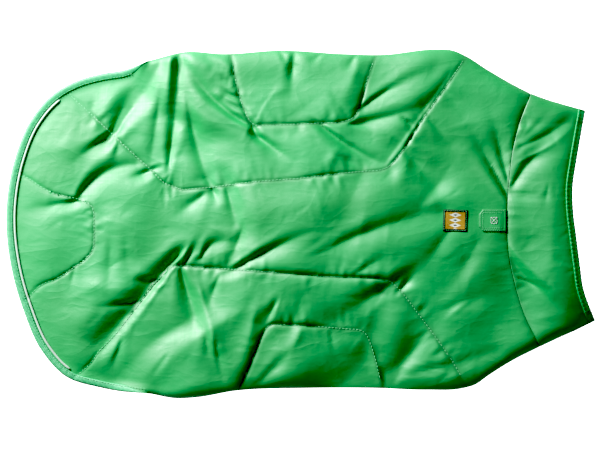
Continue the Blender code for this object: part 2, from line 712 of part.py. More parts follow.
# ---- the collar ------------------------------------------------------------------------------------
def collar_plan():
    """Plan points of the collar: throat seam, far fold, top, near fold, throat seam again."""
    shift = np.array([SEAM_GAP, 0])
    seam, neck = CURVES["collar_seam"] + shift, CURVES["neck_edge"]
    far, near = CURVES["collar_far_fold"] + shift, CURVES["collar_near_fold"] + shift
    rows = fractions(lengths(far)[-1], (0.0, 4.0), NECK_STEPS, COLLAR_ROWS)
    top = patch(far, near, seam, neck)
    columns = fractions(
        lengths(neck)[-1], COLLAR_FOLD_STEPS, COLLAR_FOLD_STEPS[::-1], COLLAR_TOP_COLUMNS
    )
    u, v = np.meshgrid(rows, columns, indexing="ij")
    parts = [top(u, v)]
    front = CURVES["throat_front"]
    for name, side, sign in (("far", far, 1), ("near", near, -1)):
        middle = SEAM_GAP / 2 * sign
        half = front[front[:, 1] * sign > 1][::sign]
        joined = np.concatenate([CURVES[name + "_throat"], half]) + shift
        joined = np.concatenate([joined, [[THROAT_FRONT["x"][2] + SEAM_GAP, middle]]])
        lower_neck = table("x y", (side[-1, 0], side[-1, 1]), (261, 55 * sign), (256, middle))
        centre = np.stack([np.linspace(joined[-1, 0], 256, 40), np.full(40, middle)], axis=1)
        under = patch(side, centre, joined, curve(lower_neck))
        columns = fractions(110, COLLAR_FOLD_STEPS, (0.0,), COLLAR_UNDER_COLUMNS)
        u, v = np.meshgrid(rows, columns, indexing="ij")
        parts.append(under(u, v))
    return np.concatenate([parts[1][:, ::-1][:, :-1], parts[0], parts[2][:, 1:]], axis=1)


def add_collar(shell):
    plan = collar_plan()
    x, y = plan[..., 0], plan[..., 1]
    columns = np.arange(plan.shape[1])
    far, near = COLLAR_UNDER_COLUMNS - 1, COLLAR_UNDER_COLUMNS + COLLAR_TOP_COLUMNS - 2
    under = (columns < far) | (columns > near)
    on_fold = (columns == far) | (columns == near)
    to_neck = np.zeros_like(x)
    to_neck[:-1] = np.cumsum(np.linalg.norm(np.diff(plan, axis=0), axis=-1)[::-1], axis=0)[::-1]
    from_fold = collar_side_distance(x, y)

    clearance = EDGE_CLEARANCE * (1 - smooth_step((to_neck - 6) / 8))
    middle = collar_middle(x)
    below = np.maximum(middle * (1 - rounded(from_fold / 6)), clearance)
    outer_z = np.where(under, below, collar_top(x, y))
    outer_z = np.where(on_fold, middle, outer_z)

    upper = EDGE_CLEARANCE + EDGE_WALL
    lower_wall = upper + (UNDER_WALL - upper) * smooth_step((to_neck - 9) / 25)
    lining = lower_wall + LINING_GAP + 2.2 * (1 - smooth_step((to_neck - 9) / 25)) + neck_gape(x, y)
    inner_z = np.where(under, lower_wall, lining)
    inner_z = np.where(on_fold, (lower_wall + lining) / 2, inner_z)
    wall = EDGE_WALL + 2.6 * smooth_step((to_neck - 9) / 15)
    turn = wall * (1 - smooth_step((from_fold - 3) / 12))
    outer_z = np.where(under | on_fold, outer_z, np.maximum(outer_z, lining + EDGE_WALL))
    middle_column = (far + near) / 2
    inward = np.where((columns < far) | ((columns > middle_column) & (columns <= near)), -1, 1)
    outer = np.stack([x, y, outer_z], axis=-1)
    inner = np.concatenate([slid(plan, inward * turn), inner_z[..., None]], axis=-1)
    rows, count = x.shape
    points = np.concatenate([outer.reshape(-1, 3), inner.reshape(-1, 3)])
    faces = wall_faces(rows, count, list(range(rows)), list(range(count)))
    add_node("collar", points, faces, shell)
    return outer, inner


# ---- bindings and piping ---------------------------------------------------------------------------
def add_binding(name, edges, lips, tape):
    """A tape folded over an edge. edges and lips hold the outer and the inner face's points along
    the edge and along the tape's two borders. The section runs down the inside of the tape, round
    the edge, and back along its outside."""
    forward = np.gradient(edges[0], axis=0)
    through = edges[0] - edges[1]
    facing, outward = [], []
    for edge, lip, side in zip(edges, lips, (1, -1)):
        normal = np.cross(edge - lip, forward)
        normal = normal * np.sign((normal * through).sum(-1, keepdims=True)) * side
        facing.append(normal / np.linalg.norm(normal, axis=-1, keepdims=True))
        outward.append(edge - lip)
    out = sum(outward)
    out = out - (out * forward).sum(-1, keepdims=True) * forward / (forward**2).sum(-1, keepdims=True)
    out = out / np.linalg.norm(out, axis=-1, keepdims=True)
    section = []
    for off, order in ((TAPE_GAP, 1), (TAPE_GAP + TAPE_WALL, -1)):
        side = [
            lips[0] + facing[0] * off,
            edges[0] + (out + facing[0]) * off,
            edges[1] + (out + facing[1]) * off,
            lips[1] + facing[1] * off,
        ]
        section += side[::order]
    points = np.stack(section, axis=1)
    faces = swept_faces(len(points), len(section))
    return add_node(name, points.reshape(-1, 3), faces, tape)


def with_height(plan, z):
    return np.concatenate([plan, z[:, None]], axis=1)


def hem_heights(plan, side, fold, inner):
    """z along the hem or its tape's border, on the back or on one folded-under side. The inner face
    closes to a crease at the side fold."""
    x, y = plan.T
    if not inner:
        return back_top(x, y) if side == "top" else side_under(x, y, side)
    full = lining(x, y) if side == "top" else side_over(x, y, side)
    crease = (side_over(x, y, "far") + lining(x, y)) / 2
    return crease + (full - crease) * np.clip(distance_to(fold, x, y) / 4, 0, 1)


def add_hem_bindings(tape):
    """The hem's tape in three runs, round the tail and under each side. Each stops short of the
    side folds, where the hem turns too sharply for it."""
    faces = [back_edges(False), back_edges(True)]
    runs = (("hem_binding", "top", "hem", 1, slice(CORNER_SKIP, -CORNER_SKIP)),)
    runs += (("far_side_binding", "far", "far_turned", 1, slice(CORNER_SKIP, -1)),)
    runs += (("near_side_binding", "near", "near_turned", -1, slice(CORNER_SKIP, -1)),)
    for name, part, line, left, kept in runs:
        edges, borders = [], []
        for inner, plan in enumerate(faces):
            fold = np.concatenate([plan["near_fold"][::-1], plan["far_fold"]])
            for points, result in (
                (plan[line], edges),
                (beside(plan[line], left * TAPE_WIDTH), borders),
            ):
                z = hem_heights(points, part, fold, inner)
                result.append(with_height(points, z)[kept])
        add_binding(name, edges, borders, tape)


def add_edge_binding(name, outer, inner, tape):
    """A tape over the first row of a panel's grids."""
    edges = [outer[0], inner[0]]
    lips = []
    for grid in (outer, inner):
        down = grid[1] - grid[0]
        lips.append(grid[0] + down * TAPE_WIDTH / np.linalg.norm(down, axis=-1, keepdims=True))
    add_binding(name, [edge[1:-1] for edge in edges], [lip[1:-1] for lip in lips], tape)


def add_piping(silver):
    """The reflective cord in the groove inside the hem tape, round the tail."""
    hem = along(CURVES["hem"], stations(CURVES["hem"], EDGE_SPACING))
    plan = beside(hem, (6.8 + BORDER_STRIP) / 2)
    plan = plan[(plan[:, 0] < -213)]
    centre = with_height(plan, back_top(*plan.T) + TAPE_GAP + PIPING_RADIUS)
    inward = beside(plan, 1.0) - plan
    turns = np.radians(np.arange(0, 360, 60))
    ring = [
        centre + PIPING_RADIUS * with_height(np.cos(a) * inward, np.full(len(plan), np.sin(a)))
        for a in turns
    ]
    points = np.stack(ring, axis=1).reshape(-1, 3)
    return add_node("reflective_piping", points, swept_faces(len(plan), len(turns)), silver)


# ---- what is sewn on the back ------------------------------------------------------------------------
def add_patch_piece(name, x_range, y_range, thickness, corner, cells, material):
    """A small flat piece that follows the back's outer face, with its rear corners cut off."""
    s = np.linspace(0, 1, cells[0] + 1)
    t = np.linspace(-1, 1, cells[1] + 1)
    half = (y_range[1] - y_range[0]) / 2
    x = x_range[0] + (x_range[1] - x_range[0]) * s[:, None] + 0 * t
    reach = half - corner * (1 - smooth_step((x - x_range[0]) / max(corner, 1e-6)))
    y = (y_range[0] + y_range[1]) / 2 + reach * t
    base = back_top(x, y) + 0.55
    lower = np.stack([x, y, base], axis=-1)
    upper = np.stack([x, y, base + thickness], axis=-1)
    rows, columns = x.shape
    points = np.concatenate([upper.reshape(-1, 3), lower.reshape(-1, 3)])
    faces = wall_faces(rows, columns, list(range(rows)), list(range(columns)))
    return add_node(name, points, faces, material)


def centre_on_origin():
    """Moves every node together so that the coat's box stands centred on the origin."""
    meshes = [node.data for node in bpy.data.objects]
    corners = []
    for mesh in meshes:
        points = np.empty(3 * len(mesh.vertices), np.float32)
        mesh.vertices.foreach_get("co", points)
        corners += [points.reshape(-1, 3).min(0), points.reshape(-1, 3).max(0)]
    low, high = np.min(corners, axis=0), np.max(corners, axis=0)
    move = [-(low[0] + high[0]) / 2, -(low[1] + high[1]) / 2, -low[2]]
    for mesh in meshes:
        mesh.transform(Matrix.Translation(move))


def build():
    for old in list(bpy.data.objects):
        bpy.data.objects.remove(old)
    shell = cloth("green_shell", (0.02, 0.40, 0.14), 0.45)
    tape = cloth("green_tape", (0.16, 0.55, 0.27), 0.6)
    silver = cloth("reflective_silver", (0.82, 0.84, 0.84), 0.35)
    woven = cloth("woven_label", (0.62, 0.42, 0.09), 0.7)

    add_back_panel(shell)
    chest_outer, chest_inner = add_chest_panel(shell)
    collar_outer, collar_inner = add_collar(shell)
    add_hem_bindings(tape)
    add_edge_binding("belly_binding", chest_inner, chest_outer, tape)
    add_edge_binding("neck_binding", collar_outer[::-1, ::-1], collar_inner[::-1, ::-1], tape)
    add_piping(silver)
    add_patch_piece("leash_flap", (170.6, 196.4), (-6.9, 14.6), 1.4, 4.5, (6, 6), shell)
    add_patch_piece("woven_label", (136.6, 159.6), (-6.6, 14.0), 0.9, 0.0, (4, 4), woven)
    centre_on_origin()


build()
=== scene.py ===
# %% [markdown]
# # A quilted winter coat for a dog, laid flat
# The real coat is a sleeveless tube of thin satin nylon with soft padding inside. Its back is one
# wide panel that wraps round both sides, a chest panel closes it underneath, and a stand-up collar
# is sewn on in front. It could be sculpted by hand or draped by a simulation alone. Here each
# panel is a grid of points worked out from a plan and a height, because the quilting lines, the
# hem and the seams then lie exactly where the frame has them, and every fold can be placed by its
# numbers. All lengths are millimetres until a mesh is made, x runs from the tail to the neck, y to
# the far side and z up.

import bmesh
import bpy
import numpy as np
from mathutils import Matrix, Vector


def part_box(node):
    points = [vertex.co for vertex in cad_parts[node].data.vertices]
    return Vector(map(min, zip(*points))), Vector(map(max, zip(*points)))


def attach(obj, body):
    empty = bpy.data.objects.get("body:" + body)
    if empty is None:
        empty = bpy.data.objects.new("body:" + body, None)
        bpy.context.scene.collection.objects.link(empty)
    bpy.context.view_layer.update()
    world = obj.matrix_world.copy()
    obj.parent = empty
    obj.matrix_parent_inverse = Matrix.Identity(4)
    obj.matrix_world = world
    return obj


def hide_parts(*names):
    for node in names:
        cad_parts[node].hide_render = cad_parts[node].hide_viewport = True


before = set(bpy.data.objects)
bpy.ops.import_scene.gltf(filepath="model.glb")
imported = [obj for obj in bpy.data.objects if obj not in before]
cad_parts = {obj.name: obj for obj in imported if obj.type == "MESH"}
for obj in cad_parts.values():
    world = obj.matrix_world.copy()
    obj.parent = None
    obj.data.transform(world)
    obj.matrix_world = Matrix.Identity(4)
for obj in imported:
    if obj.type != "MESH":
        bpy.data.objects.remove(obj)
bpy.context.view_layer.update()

MM = 0.001
label_low = np.array(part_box("woven_label")[0]) / MM
chest_low = np.array(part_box("chest_panel")[0]) / MM
LABEL_X = (136.6, 159.6)
LABEL_Y = (-6.6, 14.0)
SHIFT = np.array([label_low[0] - LABEL_X[0], label_low[1] - LABEL_Y[0], chest_low[2]])
print("frame nodes:", sorted(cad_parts))
print("plan to frame shift, mm:", SHIFT.round(2))

# %% [markdown]
# ## Lines on the plan
# A pattern cutter draws a few points and runs a smooth curve through them. The same is done here:
# a line is a short list of points, and a cubic curve passes through them with the slopes that its
# neighbours give. A spline object in Blender would do as well, but plain arrays are easier to
# measure distances to, which is what the heights need.

# %% Smooth lines
BLOCK = 8000  # points measured at once, to keep the memory small


def lengths(line):
    """How far along the line each of its points is."""
    return np.concatenate([[0], np.cumsum(np.linalg.norm(np.diff(line, axis=0), axis=1))])


def resampled(line, fractions):
    """Points at these fractions of the line's length."""
    run = lengths(line)
    at = np.asarray(fractions) * run[-1]
    return np.stack([np.interp(at, run, line[:, k]) for k in range(line.shape[1])], axis=-1)


def spaced(line, spacing, start=0.0, end=0.0):
    """Points about this far apart, from start to end millimetres inside the line's ends."""
    size = lengths(line)[-1]
    count = int(round((size - start - end) / spacing)) + 1
    return resampled(line, np.linspace(start, size - end, count) / size)


def curve(points, samples=160):
    """A cubic through the points. Each slope is the weighted mean of the two chords beside it."""
    points = np.array(points, float)
    run = lengths(points)
    slope = np.gradient(points, run, axis=0)
    at = np.linspace(0, run[-1], 6 * samples)
    i = np.clip(np.searchsorted(run, at, side="right") - 1, 0, len(run) - 2)
    step = (run[i + 1] - run[i])[:, None]
    t = (at - run[i])[:, None] / step
    line = (
        (2 * t**3 - 3 * t**2 + 1) * points[i]
        + (t**3 - 2 * t**2 + t) * step * slope[i]
        + (3 * t**2 - 2 * t**3) * points[i + 1]
        + (t**3 - t**2) * step * slope[i + 1]
    )
    return resampled(line, np.linspace(0, 1, samples))


def monotone(x, y, at):
    """A curve through (x, y) that never swings past its points: cubic, with limited slopes."""
    x, y = np.array(x, float), np.array(y, float)
    step, rise = np.diff(x), np.diff(y) / np.diff(x)
    same = rise[:-1] * rise[1:] > 0
    inner = np.where(same, 2 * rise[:-1] * rise[1:] / np.where(same, rise[:-1] + rise[1:], 1), 0)
    slope = np.concatenate([rise[:1], inner, rise[-1:]])
    i = np.clip(np.searchsorted(x, at) - 1, 0, len(step) - 1)
    t = np.clip((at - x[i]) / step[i], 0, 1)
    ease = t * t * (3 - 2 * t)
    bend = slope[i] * t * (1 - t) ** 2 - slope[i + 1] * t * t * (1 - t)
    return y[i] + (y[i + 1] - y[i]) * ease + step[i] * bend


def nearest(line, x, y):
    """For each point: its distance to the line, how far along the line it is, and the unit vector
    from the line to it. Worked out against every segment at once, in blocks of points."""
    a, step = line[:-1], np.diff(line, axis=0)
    run, size = lengths(line)[:-1], np.linalg.norm(step, axis=1)
    shape, px, py = np.shape(x), np.ravel(x), np.ravel(y)
    found = np.empty((4, px.size))
    for start in range(0, px.size, BLOCK):
        block = slice(start, start + BLOCK)
        dx, dy = px[block, None] - a[:, 0], py[block, None] - a[:, 1]
        t = np.clip((dx * step[:, 0] + dy * step[:, 1]) / size**2, 0, 1)
        away_x, away_y = dx - t * step[:, 0], dy - t * step[:, 1]
        off = np.hypot(away_x, away_y)
        k = off.argmin(1)
        row = np.arange(len(k))
        off = off[row, k]
        safe = np.maximum(off, 1e-6)
        along = run[k] + t[row, k] * size[k]
        found[:, block] = off, along, away_x[row, k] / safe, away_y[row, k] / safe
    return found.reshape(4, *shape)


def across(points):
    """Unit vectors to the left of a row of plan points."""
    forward = np.gradient(points, axis=0)
    left = np.stack([-forward[:, 1], forward[:, 0]], axis=1)
    return left / np.linalg.norm(left, axis=1, keepdims=True)


# %% Outline, hems and seams
TAIL_X = -143.5
SEAM_GAP = 0.35
LINES = {
    "hem": curve([
        (TAIL_X, 157), (-166, 147.5), (-190, 143.3), (-212.5, 137), (-235, 124.5), (-257, 99),
        (-271.6, 64), (-280.2, 12), (-274, -48), (-264, -81.5), (-246.5, -120.5), (-223.5, -145),
        (-190, -155.6), (TAIL_X, -162),
    ]),
    "far_fold": curve([
        (TAIL_X, 157), (-108, 165.2), (-74, 163), (-17, 166.3), (41, 163), (80, 162.2),
        (130, 167.3), (146, 166.5), (158, 161.5), (179, 148.3), (202, 135), (221, 125.2),
    ]),
    "near_fold": curve([
        (TAIL_X, -162), (-118, -166.4), (-100, -165.5), (-62, -159), (6, -156.3), (75, -156.3),
        (121, -158), (156, -156.5), (168, -153), (179, -145.4), (202, -131), (229.5, -117),
    ]),
    "seam": curve([
        (221, 125.2), (210.5, 100), (203, 71.5), (199, 38), (197.3, 0), (199, -29), (204, -53),
        (214.5, -87), (229.5, -117),
    ]),
    "neck": curve([
        (272.5, 109.5), (267.3, 83), (263, 60), (259.3, 35), (259.8, 12), (262.5, -10),
        (266.5, -41), (269.5, -61), (275, -77), (282, -92.5),
    ]),
    "collar_far": curve([(221, 125.2), (236, 119.8), (254, 114.6), (272.5, 109.5)]),
    "collar_near": curve([(229.5, -117), (248, -108.5), (265, -101), (282, -92.5)]),
    "far_turned": curve([(TAIL_X, 157), (-98, 113), (-45, 76)]),
    "near_turned": curve([(TAIL_X, -162), (-98, -114), (-45, -76)]),
    "far_throat": curve([(221, 125.2), (210, 90), (203, 57)]),
    "near_throat": curve([(229.5, -117), (212, -85), (203, -57)]),
    "belly": curve([(-45, 75.65), (-35, 40), (-31, 0), (-35, -40), (-45, -75.65)]),
    "throat": curve([(203, 56.65), (200.5, 28), (199.5, 0), (200.5, -28), (203, -56.65)]),
}
print("tail hem:", round(lengths(LINES["hem"])[-1]), "mm round")

# %% Quilting lines
CORNER_SIZE = 2.2
QUILT_STEP = 2.2


def softened(points, corner=CORNER_SIZE, step=0.5):
    """Straight runs through the points with small soft corners: the line is walked in short steps
    and every step takes the weighted mean of its neighbours, a bell as wide as the corner."""
    points = np.array(points, float)
    walk = spaced(points, step)
    reach = int(3 * corner / step)
    bell = np.exp(-0.5 * (np.arange(-reach, reach + 1) * step / corner) ** 2)
    bell /= bell.sum()
    ends = 2 * walk[:1] - walk[reach:0:-1], 2 * walk[-1:] - walk[-2:-reach - 2:-1]
    padded = np.concatenate([ends[0], walk, ends[1]])
    mean = np.stack([np.convolve(padded[:, k], bell, "valid") for k in range(2)], axis=1)
    return spaced(mean, QUILT_STEP)


QUILTING = {
    "far_channel": softened([
        (-223, 127), (-211, 115.7), (-201, 107), (-181, 88), (-153, 62), (-141.6, 52.3), (-129, 39),
        (-119.5, 36), (-112.8, 33), (-83, 35.5), (-57, 39), (-38, 41), (0.5, 43.7), (39, 48.5),
        (58, 50.4), (77, 51.4), (84, 54), (91.7, 62), (101, 74), (115.7, 98.4), (135, 125.3),
        (146.4, 141.6), (161, 163),
    ]),
    "near_channel": softened([
        (-216, -146.5), (-207, -139.7), (-199, -132), (-191.5, -120.5), (-177, -106), (-158, -82),
        (-138.7, -56), (-129, -46.6), (-121.4, -39.8), (-116.6, -38.9), (-95.5, -40.8),
        (-66.7, -42.7), (-38, -44.6), (0.5, -47.5), (39, -50.4), (58, -50.4), (77.3, -51.4),
        (87, -54.2), (96.5, -63), (106, -75.4), (125.3, -101.3), (144.5, -128.2), (160, -155),
    ]),
    "far_cell": softened([
        (-66, 164), (-62, 143.5), (-57, 121.4), (-52.3, 108), (-47.5, 98.4), (-42.7, 94.1),
        (-18.7, 94.6), (10, 96), (39, 97), (50.4, 100.3), (55.2, 107), (59, 116.6), (63, 131),
        (67.7, 148.3), (73.5, 162),
    ]),
    "near_cell": softened([
        (-58, -157), (-50.4, -141.6), (-45.6, -130), (-39.8, -115.7), (-36, -106), (-31.2, -97.4),
        (-26.4, -94.6), (-9, -95.5), (19.7, -97.4), (43.7, -99.4), (58, -100.3), (63.8, -104.2),
        (68.6, -115.7), (73.4, -132), (79, -156),
    ]),
    "tail_cell": softened([
        (-270, 49.4), (-258.7, 43.7), (-251, 38), (-242.4, 33), (-234.7, 29.3), (-220.3, 26.4),
        (-212.6, 24.5), (-205, 21.6), (-198.2, 17.8), (-196.3, 9), (-196.3, -19.7), (-199.2, -27.4),
        (-207.8, -36), (-215.5, -40.8), (-225, -47.5), (-234.7, -53.3), (-244.3, -56.2),
        (-251, -60), (-255.8, -65.8), (-262.6, -72.5),
    ]),
}
for name, line in QUILTING.items():
    print(f"{name}: {lengths(line)[-1]:.0f} mm of quilting")

# %% [markdown]
# ## Heights
# Padding between two layers of cloth stands full in the middle of a cell and is pulled down to
# nothing much at each line of stitching. A cushion simulation could blow the cells up. Here the
# height grows from each line as one minus an exponential, which has the sharp valley of a stitched
# line and the broad crown of loose padding. The padding has slid a little towards the neck and the
# near side, so it drops more steeply there, which is one number more. A broad swell lifts the
# middle of the back. Towards the neck the upper layer gapes off the lower one, and past a ridge
# that runs out to the collar's near corner it falls away again.

# %% The padding's heights
LIFT = 7.5  # the lower layer and the air over it
LINING_EDGE = ((0, 76, 114, 170), (-31, -45, -98, -152))  # y, and the x from which it rises
LINING_SLOPE = 0.8
LINING_RISE = 38.0
LINING_RUN = 34.0
EDGE_WALL = 2.4
LEAST_WALL = 2.8  # what the deepest fold leaves over the edge's wall
EDGE_CLEARANCE = 1.5
EDGE_STRIP = (6.0, 8.0)  # a bound edge is held up so far in, and is down so much further
UNDER_WALL = 6.5
UNDER_SWELL = (9.0, 15.0)  # a lower layer grows to its full wall from here, over so much
STITCHED_WALL = 4.0
GROOVE_DEPTH = 1.3
GROOVE_REACH = 1.3
SEAM_SOFTNESS = 2.6  # the collar seam is pressed flat, so its groove is shallower
QUILT_LOFT = 3.2
QUILT_REACH = 8.5
QUILT_PULL = {  # how tightly a line holds the cloth down, at even places along it
    "far_channel": (0.6, 0.8, 0.6, 0.25, 0.15, 0.25, 0.4, 0.25, 0.2),
    "near_channel": (0.8, 1.0, 0.9, 0.7, 0.55, 0.5, 0.35, 0.15, 0.1),
    "far_cell": (0.6, 0.7, 0.4, 0.25, 0.3, 0.5, 0.6),
    "near_cell": (0.9, 0.8, 0.5, 0.5, 0.5, 0.6, 0.7),
    "tail_cell": (0.6, 0.5, 0.15, 0.1, 0.3, 0.6, 0.7),
    "seam": (0.2, 0.15, 0.15, 0.15, 0.15),
}
SLUMP = 0.9  # how much steeper and gentler the two sides of a quilting line are
SLUMP_WAY = (-0.88, 0.47)  # the side of a line on which the cloth drops steeply to it
BODY_SWELL = 11.0
SWELL_AT = (15.0, 6.0)
SWELL_SIZE = (140.0, 95.0)
SHOULDER_DROP = 3.6
SHOULDER_REACH = 32.0
BORDER_STRIP = 9.6
HEM_REACH = 26.0
TAIL_DROP = 3.0
TAIL_RUN = (-140.0, 130.0)  # the wall thins from here towards the tail, over so much
FOLD_DEPTH = 0.92
COLLAR_FOLD_DEPTH = 0.85
FOLD_HOLD = (0.25, 3.0)  # a fold's share left on a line of stitches, and how soon it grows
GROOVE_AT_HEM = 0.6


def smooth_step(t):
    """0 below 0, 1 above 1, and a soft S between."""
    t = np.clip(t, 0.0, 1.0)
    return t * t * (3 - 2 * t)


def ramp(x, run):
    """A soft S from 0 to 1 that begins at run[0] and takes run[1]."""
    return smooth_step((x - run[0]) / run[1])


def rounded(t):
    """A quarter circle: 0 and upright at t = 0, level from t = 1 on."""
    return np.sqrt(1 - (1 - np.clip(t, 0.0, 1.0)) ** 2)


RIDGE = ((201, -22), (276, -91))  # the crease across the collar, where its near side falls away
RIDGE_FALL = 30.0
GAPE_RISE = 9.0
GAPE_RUN = (160.0, 95.0)  # the gape grows from here towards the neck, over so much
GAPE_MIDDLE = 4.0
GAPE_HALF = (92.0, 98.0)  # from the middle to the far side and to the near side


def neck_gape(x, y):
    """The upper layer stands off the lower one towards the neck. It rounds down to the far side as
    a parabola, and falls straight from the ridge to the near side."""
    run = np.subtract(RIDGE[1], RIDGE[0])
    past = ((x - RIDGE[0][0]) * run[1] - (y - RIDGE[0][1]) * run[0]) / np.hypot(*run)
    off = y - GAPE_MIDDLE
    far = np.clip(1 - (off / GAPE_HALF[0]) ** 2, 0, 1)
    near = np.clip(1 - (off / GAPE_HALF[1]) ** 6, 0, 1) * np.clip(1 - past / RIDGE_FALL, 0, 1)
    return GAPE_RISE * ramp(x, GAPE_RUN) * np.where(off > 0, far, near)


def lining_height(x, y):
    """The back's lining lies on the lower layer and comes down to the floor behind it."""
    edge = monotone(*LINING_EDGE, np.abs(y))
    past = (x - edge) * LINING_SLOPE + LINING_RISE
    return LIFT * smooth_step(past / LINING_RUN) + neck_gape(x, y)


SIDE_GROWTH = (TAIL_X, 75.0)
SIDE_END = (165.0, 50.0)
MIDDLE_HEIGHT = (5.6, 11.5, 9.0)  # at the hem, on the body, at the collar, as the next three
OVER_ROLL = (5.0, 22.0, 14.0)
UNDER_ROLL = (5.0, 13.0, 8.0)
ROLL_WALL = (EDGE_WALL, 8.0, 6.0)


def along_side(x, sizes):
    """A side fold's size: small at the hem, full on the body, less at the collar."""
    at_tail, on_body, at_collar = sizes
    grown = at_tail + (on_body - at_tail) * ramp(x, SIDE_GROWTH)
    return grown + (at_collar - grown) * ramp(x, SIDE_END)


def side_middle(x):
    """Height of a side fold's outermost line."""
    return along_side(x, MIDDLE_HEIGHT)


print("gape at the neck, mm:", neck_gape(np.array([258.0]), np.array([0.0])).round(1))


# %% [markdown]
# ## Folds
# Loose nylon falls into long troughs that start sharp at a corner of the stitching and die out in
# the open cloth. Sculpting brushes could press them in. Each is one row of a table here: where it
# starts and ends, how much it bows, how wide it is on its left and on its right, how deep, and how
# softly it begins and ends. A steep side and a gentle side make a fold look like cloth.

